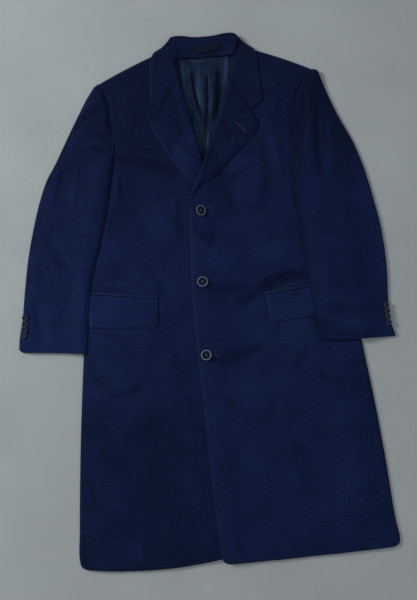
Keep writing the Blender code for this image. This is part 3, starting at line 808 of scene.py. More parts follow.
@dataclass
class SewnPiece:
    """One piece of cloth: its table of sections, its wall, and how its edges are finished."""

    name: str
    sections: Sequence[Section]
    rests_on: tuple[str, ...]
    wall: float = 3.0
    pitch: float = 5.0
    gap: float = 0.45
    bridge: float = 16.0
    roll_width: float = 12.0
    tuck: float = 0.0
    folds: Sequence[Fold] = ()
    seed: int = 1
    wave: float = 0.35
    cloth: Cloth = Cloth.WOOL
    fine: tuple[float, ...] = (0.0, 1.1, 2.4, 3.8, 4.6, STITCH_INSET, 5.8, 7.0, 9.0, 12.0)
    allowance: tuple[float, float] = (0.0, 0.0)
    stitched: tuple[str, ...] = ()
    full_shade: float = 5.6
    # painted lightness of the whole piece: painted light above 0, painted shade below 0
    painted_lightness: float = 0.0
    edge_gap: float = 0.25
    groove_depth: float = 0.5
    groove_width: float = 1.1
    # stitched edges: wear with a painted highlight
    edge_wear_and_light: float = 0.55
    wear_light_reach: float = 2.2
    most_tuck: float = 0.3
    folds_free: Ramp = Ramp(0.0, 30.0)
    xy: np.ndarray = field(init=False, repr=False)
    spot: Spot = field(init=False, repr=False)
    under: np.ndarray = field(init=False, repr=False)
    top: np.ndarray = field(init=False, repr=False)
    painted_shading: np.ndarray = field(init=False, repr=False)

    def cut_plan(self) -> None:
        """Rule the piece's plan from its sections."""
        corners = [s.corner for s in self.sections]
        left = curve_through([(s.left_x, s.left_y) for s in self.sections], corners)
        right = curve_through([(s.right_x, s.right_y) for s in self.sections], corners)
        sags = curve_through([(i * 100.0, s.sag) for i, s in enumerate(self.sections)], corners)[:, 1]
        length = 0.5 * (run_length(left) + run_length(right))
        places = stations(length[-1], self.pitch, self.fine)
        for place, corner in zip(length[::CURVE_STEPS], corners):
            if corner:
                places[np.abs(places - place).argmin()] = place
        left = np.column_stack([np.interp(places, length, left[:, k]) for k in (0, 1)])
        right = np.column_stack([np.interp(places, length, right[:, k]) for k in (0, 1)])
        width = np.hypot(*(right - left).T)[:, None]
        tuck = np.minimum(self.tuck, self.most_tuck * width) * (right - left) / width
        left, right = left + tuck, right - tuck
        sags = np.interp(places, length, sags)
        widest = np.hypot(*(right - left).T).max()
        shares = stations(widest, self.pitch, self.fine) / widest
        self.xy = left[:, None] + (right - left)[:, None] * shares[None, :, None]
        self.xy[..., 1] -= sags[:, None] * (4.0 * shares * (1.0 - shares))[None, :]
        self.spot = Spot.of(self.xy)

    def loft(self, spot: Spot) -> np.ndarray:
        """Room under the piece before its folds. Args: where its points are. Returns: heights from 0 up."""
        return np.zeros_like(spot.x)

    def thickness(self, spot: Spot) -> np.ndarray:
        """The wall of the piece. Args: where its points are. Returns: its thickness."""
        return np.full_like(spot.x, self.wall)

    def rolls(self, spot: Spot) -> tuple[Any, Any, Any, Any]:
        """How far edges turn down, 0 to 1. Args: where points are. Returns: left, right, head and foot."""
        return 0.0, 0.0, 0.0, 0.0

    def keep_down(self, spot: Spot) -> np.ndarray:
        """Where folds may lift the piece, from 0 at what is sewn down to 1. Args: the points. Returns: it."""
        return self.folds_free.at(spot.from_sides())

    def needed(self, pile: Pile, spot: Spot) -> np.ndarray:
        """The height to clear. Args: the pile and where the points are. Returns: the heights."""
        return pile.read(pile.ground(self.rests_on, self.gap), spot.x, spot.y)

    def lay(self, pile: Pile) -> None:
        """Lay the piece on the pile and keep its top. Args: the pile."""
        self.cut_plan()
        spot = self.spot
        need = self.needed(pile, spot)
        heights = draped(need, self.pitch, self.bridge)
        free = self.keep_down(spot)
        folds = fold_relief(self.folds, spot.x, spot.y)
        # painted shading: the piece's painted lightness, its fold crests painted lighter and its troughs
        # darker
        self.painted_shading = self.painted_tone(spot) + free * np.clip(folds / self.full_shade, -1.0, 1.0)
        relief = self.loft(spot) + free * (folds + unevenness(spot.x, spot.y, self.seed, self.wave))
        heights = np.maximum(heights + relief, need)
        low = pile.read(pile.ground(self.rests_on, self.gap, grow=0), spot.x, spot.y) + self.edge_gap
        edges = (spot.from_left, spot.from_right, spot.from_head, spot.from_foot)
        for share, distance in zip(self.rolls(spot), edges):
            near = np.clip(1.0 - distance / self.roll_width, 0.0, 1.0)
            turned = share * (1.0 - np.sqrt(1.0 - near * near))
            heights = heights - turned * np.maximum(heights - low, 0.0)
        self.under = heights
        self.top = heights + self.thickness(spot)
        if self.stitched:
            self.top = self.top - self.groove(spot)
        pile.keep(self.name, self.xy, self.top)

    def groove(self, spot: Spot) -> np.ndarray:
        """The line that pick stitching draws into the cloth. Args: the points. Returns: its depth."""
        away = [(spot.from_edge(side) - STITCH_INSET) / self.groove_width for side in self.stitched]
        return sum(self.groove_depth * np.exp(-distance ** 2) for distance in away)

    def painted_tone(self, spot: Spot) -> np.ndarray:
        """The painted light and shade of the piece away from its folds. Args: the points. Returns: the tone.
        """
        return np.full_like(spot.x, self.painted_lightness)

    def wear_and_light(self, spot: Spot) -> np.ndarray:
        """How worn the piece is, the wear carrying a painted highlight: its free edges most. Args: the
        points. Returns: 0 to 1.
        """
        found = np.zeros_like(spot.x)
        for side in self.stitched:
            wear_and_highlight = self.edge_wear_and_light * np.exp(-(spot.from_edge(side) / self.wear_light_reach) ** 2)
            found = np.maximum(found, wear_and_highlight)
        return found

    def build(self, wardrobe: Wardrobe) -> bpy.types.Object:
        """Make the laid piece and dress it. Args: the finishes. Returns: the object."""
        # the mesh carries the painted shading, and the wear with its painted highlight
        marks = {"wear_and_highlight": self.wear_and_light(self.spot), "painted_shading": self.painted_shading}
        mesh = shell_mesh(self.name + "_cloth", self.xy, self.under, self.top, marks)
        made = put_out(mesh, wardrobe.by_cloth[self.cloth])
        return self.declare(made)

    def declare(self, made: bpy.types.Object) -> bpy.types.Object:
        """Say what the piece is, rides on and stands for. Args: the object. Returns: it."""
        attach(made, BODY)
        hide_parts(self.name)
        width = round(float(self.spot.from_left[:, -1].mean()) * MM + self.allowance[0], 4)
        length = round(float(self.spot.from_head[-1].mean()) * MM + self.allowance[1], 4)
        cut = round(min(self.plan_area() * MM * MM, width * length), 7)
        log.info("%s: %d faces, cut %.0f by %.0f mm, top at %.1f mm", made.name, len(made.data.polygons),
                 width / MM, length / MM, float(self.top.max()))
        return made

    def plan_area(self) -> float:
        """Area of the piece in plan, in square millimetres."""
        a, b = self.xy[1:, 1:] - self.xy[:-1, :-1], self.xy[1:, :-1] - self.xy[:-1, 1:]
        return float(np.abs(a[..., 0] * b[..., 1] - a[..., 1] * b[..., 0]).sum() * 0.5)

    def line(self, side: str, inset: float, start: float = 0.0, end: float = 1.0) -> np.ndarray:
        """Points on the top of the piece along one edge.

        Args:
            side: left, right, head or foot.
            inset: their distance from the edge.
            start: the share of the edge where they start.
            end: the share where they end.

        Returns:
            Rows of x, y and z in millimetres.
        """
        whole = np.dstack([self.xy, self.top])
        distance = self.spot.from_edge(side)
        if side in ("head", "foot"):
            whole, distance = whole.transpose(1, 0, 2), distance.T
        if side in ("right", "foot"):
            whole, distance = whole[:, ::-1], distance[:, ::-1]
        rows = range(round(start * (len(whole) - 1)), round(end * (len(whole) - 1)) + 1)
        return np.array([[np.interp(inset, distance[r], whole[r, :, k]) for k in range(3)] for r in rows])


# The plans from head to foot, in millimetres: left x and y, right x and y, sag and corner
FRONT_UNDER = plan_of(
    (-249, 536, -112, 596, -2.5),
    (-236, 523, -86, 577),
    (-227, 500, -71, 545),
    (-224, 466, -60, 505),
    (-221, 420, -48, 462),
    (-222, 385, -40, 420),
    (-231, 352, -32, 380),
    (-254, 329, -25, 345),
    (-285, 312, -19, 312),
    (-290, 262, -14, 262),
    (-301, 150, -13, 150),
    (-311, 40, -14, 40),
    (-325, -84, -13, -88),
    (-345, -275, -8, -270),
    (-362, -484, 3, -460, 7),
    (-366, -556, 8, -538, 14),
    (-363, -567, 9, -552, 16),
    (-354, -573, 9, -561, 17),
)
FRONT_OVER = plan_of(
    (109, 594, 247, 537, -2.5),
    (86, 575, 226, 521),
    (68, 543, 207, 500),
    (48, 500, 195, 463),
    (31, 459, 188, 426),
    (14, 415, 186, 390),
    (-3, 375, 193, 352),
    (-17, 342, 218, 329),
    (-34, 305, 266, 312),
    (-55, 262, 279, 262),
    (-59.5, 225, 283, 225),
    (-62.5, 150, 291, 150),
    (-65.5, 40, 303, 40),
    (-63.5, -88, 316, -91),
    (-58, -219, 334, -219),
    (-53, -362, 351, -362),
    (-44, -510, 365.5, -510, 1),
    (-40, -560, 372, -552, 1.5),
    (-35, -575, 370, -563, 1.5),
    (-22, -584, 360, -569, 1.5),
)
LAPEL_UNDER = plan_of(
    (-105, 469, -60, 534),
    (-137, 435, -58, 518, 0, True),
    (-118, 399, -52, 495),
    (-94, 354, -44, 455),
    (-74, 326, -35, 415),
    (-57, 305, -26, 375),
    (-40, 288, -17, 335),
    (-27, 270, -12, 296),
)
LAPEL_OVER = plan_of(
    (53, 530, 95, 452),
    (48, 514, 113, 415, 0, True),
    (41, 497, 102, 399),
    (25, 459, 72, 371),
    (7, 410, 30, 331),
    (-9, 366, -3, 303),
    (-28, 320, -31, 286),
    (-47, 286, -47, 264),
    (-57, 260, -56, 247),
    (-61, 240, -60, 236),
)
COLLAR_LEAF = plan_of(
    (-106, 471, -61, 536, 0, True),
    (-129, 487, -63, 549, 0, True),
    (-130, 515, -64, 563),
    (-129, 550, -66, 578),
    (-124, 584, -69, 594),
    (-114, 602, -73, 612),
    (-96, 608, -76, 628),
    (-80, 606, -68, 631),
    (-60, 603, -52, 631.5),
    (-24, 600, -22, 626.5),
    (24, 600, 22, 627),
    (60, 602, 54, 631),
    (80, 605, 70, 629.5),
    (97, 605, 77, 623.5),
    (110, 598, 74, 610),
    (119, 579, 69, 594),
    (120, 548, 66, 579),
    (123, 510, 62, 562),
    (125, 472, 57, 546, 0, True),
    (97, 454, 54, 532),
)
COLLAR_STAND = plan_of(
    (-70, 581, 68, 581),
    (-73, 597, 72, 596),
    (-76, 612, 77, 611),
    (-76, 620, 79, 618, 1.5),
    (-66, 626.5, 69, 625.5, 4),
)
LINING = plan_of(
    (-80, 589, 78, 588),
    (-80, 568, 79, 566),
    (-80, 530, 76, 524),
    (-70, 470, 52, 465),
    (-60, 410, 28, 405),
    (-48, 350, 6, 345),
    (-42, 312, -4, 310),
)
SLEEVE_LEFT = plan_of(
    (-258, 531, -249.8, 536),
    (-277, 505, -236.8, 523),
    (-295.5, 474, -227.8, 500),
    (-317.5, 436, -224.8, 466),
    (-341, 394, -221.8, 420),
    (-360.5, 359, -222.8, 385),
    (-381, 326, -227, 354),
    (-400, 280, -234, 310),
    (-420, 215, -247, 250),
    (-437, 146, -265, 180),
    (-451, 65, -293, 90),
    (-461, 0, -308, 0),
    (-467, -23, -311, -32),
    (-471, -50, -314, -62),
    (-471, -60, -315, -74),
    (-464, -66, -315, -79, -1),
)
SLEEVE_RIGHT = plan_of(
    (247.8, 537, 258, 532),
    (226.8, 521, 268, 503),
    (207.8, 500, 278, 474),
    (195.8, 463, 295.5, 431),
    (188.8, 426, 311.5, 398),
    (186.8, 390, 327, 366),
    (185, 350, 341, 328),
    (184, 310, 352, 291),
    (186, 245, 367.5, 222),
    (192, 180, 378, 165),
    (199, 90, 385, 75),
    (208, 0, 383, -8),
    (212, -32, 384, -38),
    (218, -62, 390, -70),
    (221, -79, 394, -83),
    (223, -82, 393, -87, 2),
)
FLAP_LEFT = plan_of(
    (-301, 56, -145, 35.5),
    (-303, 37, -146, 16),
    (-306, -10, -148.5, -20),
    (-305, -17, -151, -27),
    (-300, -19, -158, -29),
)
FLAP_RIGHT = plan_of(
    (101.5, 28, 260, 45),
    (103.5, 9, 262, 26),
    (107, -26, 266, -12),
    (110, -33, 264, -19),
    (117, -35, 258, -21),
)
NECK_LABEL = plan_of(
    (-17, 588.5, 35, 596),
    (-18.5, 600.5, 33.5, 608),
)
WELT_LEFT = plan_of(
    (-301, 63, -144, 42),
    (-301, 57, -145, 36),
)
WELT_RIGHT = plan_of(
    (100, 35, 259, 52),
    (101, 29, 260, 46),
)
BACK = plan_of(
    (-110, 590, 107, 588, 0, True),
    (-247, 531, 245, 532, 0, True),
    (-236, 518, 226, 516),
    (-227, 500, 207, 500),
    (-224, 466, 195, 463),
    (-221, 420, 188, 426),
    (-222, 385, 186, 390),
    (-231, 352, 193, 352),
    (-254, 329, 218, 329),
    (-285, 312, 266, 312),
    (-290, 262, 279, 262),
    (-301, 150, 291, 150),
    (-311, 40, 303, 40),
    (-325, -84, 316, -91),
    (-345, -275, 334, -260),
    (-362, -484, 363, -490, 1),
    (-364, -558, 370, -548, 4),
    (-353, -570, 358, -562, 6),
)

# The folds, in millimetres: start, middle, end, half width and height
OVER_FOLDS = folds_of(
    (226, 64, 124, 51, 24, -18, 22, -8.8),
    (-54, 62, 3, 44, 96, 54, 16, -3.8),
    (153, -52, 53, -105, -42, -131, 21, -4.2),
    (199, -88, 174, -123, 151, -158, 17, -3.2),
    (208, -125, 239, -176, 288, -170, 12, -3.2),
    (-54, 184, -25, 168, 5, 145, 14, -4.2),
    (26, 290, 44, 244, 60, 200, 20, -3.6),
    (34, 300, 60, 326, 88, 344, 22, 3.4),
    (140, 411, 153, 341, 157, 267, 18, 3.2),
    (112, 413, 124, 315, 106, 196, 20, -2.6),
    (-28, 127, -11, 112, 21, 101, 17, 3.8),
    (94, 26, 136, 35, 183, 38, 13, 3.4),
    (115, -400, 145, -430, 175, -462, 12, -2.9),
    (40, -159, 43, -303, 34, -510, 45, 1.7),
    (235, -201, 260, -341, 288, -505, 38, 1.9),
    (142, -217, 157, -334, 184, -544, 34, -1.7),
    (84, -121, 106, -196, 92, -272, 16, -2.1),
    (102, 143, 150, 161, 201, 166, 16, -2.2),
    (-15, -484, -10, -542, -8, -577, 20, 2.2),
    (146, -483, 156, -537, 163, -570, 22, 2.2),
    (120, -42, 168, -36, 215, -28, 54, 4.2),
    (-30, 150, 10, 118, 40, 92, 34, 3.4),
    (60, -40, 130, -78, 205, -62, 34, 3.0),
    (60, 250, 92, 226, 130, 238, 26, -2.6),
    (-20, -160, 60, -178, 150, -172, 40, 2.2),
    (70, 128, 120, 118, 185, 128, 30, 2.6),
    (186, 430, 182, 310, 189, 190, 4, -3.2),
    (183, 300, 189, 200, 196, 110, 4, -3.2),
    (189, 190, 197, 90, 208, -6, 4, -3.2),
    (199, 70, 209, -10, 221, -92, 4, -3.2),
)
UNDER_FOLDS = folds_of(
    (-228, 372, -142, 345, -44, 306, 20, -6.4),
    (-176, 124, -145, 84, -126, 25, 17, -3.8),
    (-308, -71, -294, -136, -262, -168, 18, -3.8),
    (-284, -158, -225, -180, -174, -138, 18, -3.8),
    (-219, 334, -220, 288, -233, 234, 15, 4.2),
    (-273, 190, -247, 165, -209, 121, 17, 2.9),
    (-277, 75, -235, 75, -185, 69, 11, 3.2),
    (-334, -355, -320, -412, -315, -472, 13, -2.2),
    (-156, -178, -173, -357, -199, -563, 46, -1.9),
    (-254, -190, -265, -351, -283, -539, 36, 1.5),
    (-97, -201, -93, -340, -78, -525, 26, 1.2),
    (-199, 255, -174, 216, -148, 191, 20, -2.6),
    (-303, -34, -268, -59, -213, -66, 16, 3.5),
    (-83, 269, -82, 209, -82, 145, 15, -2.2),
    (-225, -506, -223, -543, -225, -571, 20, 2.2),
    (-238, 58, -236, 6, -246, -52, 56, 4.8),
    (-290, -80, -262, -118, -222, -122, 34, 3.4),
    (-215, 250, -150, 205, -90, 190, 44, 2.6),
    (-240, 172, -190, 150, -150, 118, 24, -2.2),
    (-140, -60, -110, -120, -108, -190, 30, -2.6),
)
SLEEVE_LEFT_FOLDS = folds_of(
    (-325, 439, -281, 482, -233, 502, 9, 3.9),
    (-312, 424, -273, 461, -230, 474, 10, -3.6),
    (-266, 428, -239, 412, -218, 392, 10, -3.8),
    (-277, 396, -253, 383, -223, 374, 9, -4.5),
    (-272, 410, -245, 394, -221, 381, 7, 2.4),
    (-396, 190, -371, 149, -355, 104, 16, -3.0),
    (-374, 197, -345, 158, -334, 111, 12, 3.0),
    (-415, 140, -410, 110, -411, 75, 14, -2.2),
    (-425, 62, -423, 2, -418, -61, 14, -3.4),
    (-399, 42, -398, -9, -395, -62, 15, 2.4),
    (-372, 31, -365, 7, -362, -21, 13, -2.2),
    (-345, 352, -353, 302, -375, 248, 15, -2.7),
    (-312, 369, -316, 300, -336, 222, 15, 2.4),
)
SLEEVE_RIGHT_FOLDS = folds_of(
    (218, 22, 285, 0, 372, -22, 46, 2.6),
    (228, 536, 262, 462, 292, 380, 44, -2.6),
    (253, 477, 248, 376, 249, 260, 13, -4.2),
    (234, 511, 226, 419, 214, 313, 13, 2.2),
    (276, 443, 275, 362, 272, 258, 13, 2.0),
    (308, 376, 318, 325, 323, 255, 14, -2.6),
    (214, -24, 281, -44, 366, -62, 14, 4.6),
    (213, 2, 283, -17, 362, -39, 15, -3.3),
    (226, -64, 290, -78, 383, -77, 9, -3.6),
    (192, 430, 208, 406, 220, 373, 8, -2.7),
    (217, 205, 261, 171, 311, 150, 18, -2.4),
    (219, 165, 268, 132, 331, 111, 18, 2.2),
    (256, 93, 301, 76, 351, 73, 16, -1.8),
)
LAPEL_UNDER_FOLDS = folds_of(
    (-92, 384, -58, 356, -36, 316, 26, 5.6),
    (-68, 462, -74, 424, -66, 392, 16, -3.8),
    (-117, 438, -105, 414, -89, 385, 14, 1.8),
)
LAPEL_OVER_FOLDS = folds_of(
    (30, 440, 44, 408, 30, 372, 16, -3.8),
    (60, 403, 49, 371, 24, 341, 13, 1.6),
    (-15, 320, -28, 298, -41, 271, 12, 2.3),
)
LINING_FOLDS = folds_of(
    (-50, 581, -50, 512, -36, 446, 11, 2.6),
    (-36, 446, -30, 404, -23, 362, 8, 2.6),
    (-11, 574, -13, 521, -10, 449, 9, 2.4),
    (7, 554, 9, 503, 2, 425, 4, 1.6),
    (50, 584, 52, 560, 42, 501, 8, 3.2),
    (-1, 416, -4, 393, -8, 370, 4, 2.4),
    (-33, 580, -18, 574, 6, 577, 5, 1.6),
    (-30, 566, -29, 511, -12, 426, 5, -2.6),
    (2, 545, 0, 495, -13, 371, 4.5, -2.6),
    (26, 571, 24, 507, 8, 416, 11, -2.4),
    (-63, 582, -61, 513, -48, 431, 7, -1.5),
)


@dataclass
class Back(SewnPiece):
    """The back: one plain flat panel whose sides are tucked inside the fronts."""

    name: str = "back"
    sections: Sequence[Section] = BACK
    rests_on: tuple[str, ...] = ()
    pitch: float = 12.0
    tuck: float = 7.0
    fine: tuple[float, ...] = (0.0, 3.0, 8.0)

    def lay(self, pile: Pile) -> None:
        """Lay the back flat. Args: the pile."""
        self.cut_plan()
        self.under = np.zeros_like(self.spot.x)
        self.top = self.under + self.wall
        self.painted_shading = np.zeros_like(self.under)
        pile.keep(self.name, self.xy, self.top)


@dataclass
class NeckLining(SewnPiece):
    """The satin lining that shows in the neck, gathered into folds that run down to the crossing."""

    name: str = "lining_back"
    sections: Sequence[Section] = LINING
    rests_on: tuple[str, ...] = ("back",)
    wall: float = 1.0
    pitch: float = 2.6
    folds: Sequence[Fold] = LINING_FOLDS
    seed: int = 5
    wave: float = 0.9
    full_shade: float = 2.8
    cloth: Cloth = Cloth.LINING
    fine: tuple[float, ...] = (0.0, 1.5)
    fan_middle: float = -26.0
    fan_foot: float = 300.0
    fan_width: float = 30.0
    fan_spread: float = 0.30
    pleat_turns: float = 31.0
    pleat_height: float = 0.22
    pleat_sway: float = 0.9
    pleat_lean: float = 0.012
    broken_share: float = 0.35
    room: float = 0.9
    pleat_rise: Ramp = Ramp(0.0, 12.0)
    head_free: Ramp = Ramp(0.0, 5.0)
    side_free: Ramp = Ramp(0.0, 6.0, 0.3)

    def loft(self, spot: Spot) -> np.ndarray:
        """Fine pleats under the main folds, with steep sides. Args: the points. Returns: the room."""
        opening = self.fan_width + self.fan_spread * np.maximum(spot.y - self.fan_foot, 0.0)
        fan = (spot.x - self.fan_middle) / opening
        sway = self.pleat_sway * np.sin(0.021 * spot.y)
        pleats = np.sin(self.pleat_turns * fan + sway + self.pleat_lean * spot.y)
        broken = 1.0 - self.broken_share * (1.0 - np.sin(0.047 * spot.y + 6.0 * fan))
        return self.room + self.pleat_height * pleats * broken * self.pleat_rise.at(spot.from_head)

    def keep_down(self, spot: Spot) -> np.ndarray:
        """The folds stand up to the piece's hidden edges. Args: the points. Returns: 0 to 1."""
        return self.head_free.at(spot.from_head) * self.side_free.at(spot.from_sides())


@dataclass
class Front(SewnPiece):
    """One front of the coat, padded at the shoulder, rolled under at the side and turned up at the hem."""

    under_left: bool = True
    pad: tuple[float, float] = (-196.0, 512.0)
    pad_height: float = 6.0
    pad_reach: float = 95.0
    pad_head: Ramp = Ramp(0.0, 12.0, 0.25)
    seam_lift: float = 1.2
    seam_rise: Ramp = Ramp(0.0, 6.0)
    body_loft: float = 3.4
    waist_loft: float = 3.2
    waist: Ramp = Ramp(215.0, -90.0)
    side_rise: Ramp = Ramp(0.0, 55.0)
    head_rise: Ramp = Ramp(0.0, 60.0)
    foot_rise: Ramp = Ramp(0.0, 60.0, 0.25)
    edge_rise: Ramp = Ramp(0.0, 60.0, 0.15)
    wave: float = 1.1
    bridge: float = 34.0
    hem_wall: float = 0.55
    hem_turn: Ramp = Ramp(45.0, -5.0)
    facing_wall: float = 0.35
    facing_turn: Ramp = Ramp(62.0, -8.0)
    press_reach: Ramp = Ramp(0.0, 6.0)
    press_depth: float = 0.6
    lower_press: float = 0.9
    lower_edge: Ramp = Ramp(-120.0, -80.0)
    side_free: Ramp = Ramp(0.0, 22.0, 0.12)
    head_free: Ramp = Ramp(0.0, 30.0)
    edge_free: Ramp = Ramp(0.0, 22.0, 0.3)
    arm_share: float = 0.85
    arm_head: Ramp = Ramp(340.0, -60.0)
    arm_foot: Ramp = Ramp(-130.0, 40.0)
    arm_width: Ramp = Ramp(50.0, 45.0)
    # painted shade over the skirt
    skirt_shade: float = 0.0
    skirt: Ramp = Ramp(-150.0, -110.0)
    # wear and painted highlight below the lowest button
    lower_wear_and_light: float = 0.03
    buttoned: Ramp = Ramp(-180.0, 70.0)
    side_roll: Ramp = Ramp(325.0, -28.0)

    def outer(self, spot: Spot) -> np.ndarray:
        """Distance from the side seam and armhole. Args: the points. Returns: the distance."""
        return spot.from_left if self.under_left else spot.from_right

    def inner(self, spot: Spot) -> np.ndarray:
        """Distance from the front edge. Args: the points. Returns: the distance."""
        return spot.from_right if self.under_left else spot.from_left

    def loft(self, spot: Spot) -> np.ndarray:
        """Fullness of the body, nothing at its seams. Args: the points. Returns: the room."""
        outer = self.outer(spot)
        seams = self.seam_rise.at(np.minimum(outer, spot.from_head))
        body = self.side_rise.at(outer) * self.head_rise.at(spot.from_head)
        body = body * self.foot_rise.at(spot.from_foot)
        if not self.under_left:
            body = body * self.beside_arm(spot)
        fullness = self.body_loft + self.waist_loft * self.waist.at(spot.y)
        return self.seam_lift * seams + fullness * body * self.edge_rise.at(self.inner(spot))

    def thickness(self, spot: Spot) -> np.ndarray:
        """Cloth, the shoulder pad and the turned-up hem. Args: the points. Returns: the wall."""
        pad = soft(1.0 - np.hypot(spot.x - self.pad[0], spot.y - self.pad[1]) / self.pad_reach)
        pad = self.pad_height * pad * self.pad_head.at(spot.from_head)
        hem = self.hem_turn.at(spot.from_foot)
        facing = self.facing_turn.at(self.inner(spot)) * self.head_rise.at(spot.from_head)
        press = self.press_depth + self.lower_press * self.lower_edge.at(spot.y)
        pressed = (1.0 - self.press_reach.at(self.inner(spot))) * press
        return self.wall + pad + self.hem_wall * hem + self.facing_wall * facing - pressed

    def keep_down(self, spot: Spot) -> np.ndarray:
        """Folds fade at the seams and the front edge, and under the right sleeve.

        Args:
            spot: where the points are.

        Returns:
            0 where they are kept down, to 1.
        """
        free = self.side_free.at(self.outer(spot)) * self.head_free.at(spot.from_head)
        free = free * self.edge_free.at(self.inner(spot))
        return free if self.under_left else free * self.beside_arm(spot)

    def beside_arm(self, spot: Spot) -> np.ndarray:
        """How free the front is of the right sleeve. Args: the points. Returns: near 0 below it, else 1."""
        along = self.arm_head.at(spot.y) * self.arm_foot.at(spot.y)
        return 1.0 - self.arm_share * along * (1.0 - self.arm_width.at(self.outer(spot)))

    def painted_tone(self, spot: Spot) -> np.ndarray:
        """Painted shade over the skirt of the under front. Args: the points. Returns: the tone."""
        return super().painted_tone(spot) - self.skirt_shade * self.skirt.at(spot.y)

    def wear_and_light(self, spot: Spot) -> np.ndarray:
        """The front edge is worn, with a painted highlight, above the lowest button. Args: the points.
        Returns: 0 to 1.
        """
        return super().wear_and_light(spot) * (self.lower_wear_and_light + (1.0 - self.lower_wear_and_light) * self.buttoned.at(spot.y))

    def rolls(self, spot: Spot) -> tuple[Any, Any, Any, Any]:
        """The side below the armhole and the shoulder roll under. Args: the points. Returns: the shares."""
        side = self.side_roll.at(spot.y)
        return (side, 0.0, 1.0, 0.0) if self.under_left else (0.0, side, 1.0, 0.0)


@dataclass
class Lapel(SewnPiece):
    """A lapel, turned back with a soft roll along its fold."""

    fold_right: bool = True
    wall: float = 3.6
    pitch: float = 2.8
    bridge: float = 9.0
    roll_width: float = 9.0
    fine: tuple[float, ...] = STITCHED_FINE
    roll_lift: float = 2.5
    roll_middle: float = 9.0
    roll_reach: float = 15.0
    roll_foot: float = 0.55
    belly: float = 0.7
    belly_rise: Ramp = Ramp(0.0, 12.0)
    tail_rise: Ramp = Ramp(0.0, 70.0)
    rim_thin: float = 1.8
    rim_rise: Ramp = Ramp(0.0, 9.0)
    tail_thin: float = 0.22
    tail_wall: Ramp = Ramp(0.0, 80.0)
    side_free: Ramp = Ramp(0.0, 8.0)
    turned_rim: float = 0.9
    fold_head: Ramp = Ramp(0.0, 10.0)

    def fold_distance(self, spot: Spot) -> np.ndarray:
        """Distance from the fold. Args: the points. Returns: the distance."""
        return spot.from_right if self.fold_right else spot.from_left

    def loft(self, spot: Spot) -> np.ndarray:
        """The roll along the fold, lower towards the crossing. Args: the points. Returns: the room."""
        roll = np.exp(-((self.fold_distance(spot) - self.roll_middle) / self.roll_reach) ** 2)
        share = self.roll_foot + (1.0 - self.roll_foot) * soft(1.0 - spot.down)
        lift = self.roll_lift * roll * share + self.belly * self.belly_rise.at(spot.from_sides())
        return lift * self.tail_rise.at(spot.from_foot)

    def thickness(self, spot: Spot) -> np.ndarray:
        """Two layers, pressed thin at the rim and the tail. Args: the points. Returns: the wall."""
        rim = np.minimum(spot.from_left if self.fold_right else spot.from_right, spot.from_head)
        wall = self.wall - self.rim_thin * (1.0 - self.rim_rise.at(rim))
        return wall * (self.tail_thin + (1.0 - self.tail_thin) * self.tail_wall.at(spot.from_foot))

    def keep_down(self, spot: Spot) -> np.ndarray:
        """Folds reach all of the lapel but its rim. Args: the points. Returns: 0 to 1."""
        return self.side_free.at(spot.from_sides())

    def rolls(self, spot: Spot) -> tuple[Any, Any, Any, Any]:
        """The fold turns down, and the rim lies on the front. Args: the points. Returns: the shares."""
        fold = 0.95 * self.fold_head.at(spot.from_head) + 0.05
        rim = self.turned_rim
        return (rim, fold, 0.0, rim) if self.fold_right else (fold, rim, 0.0, rim)


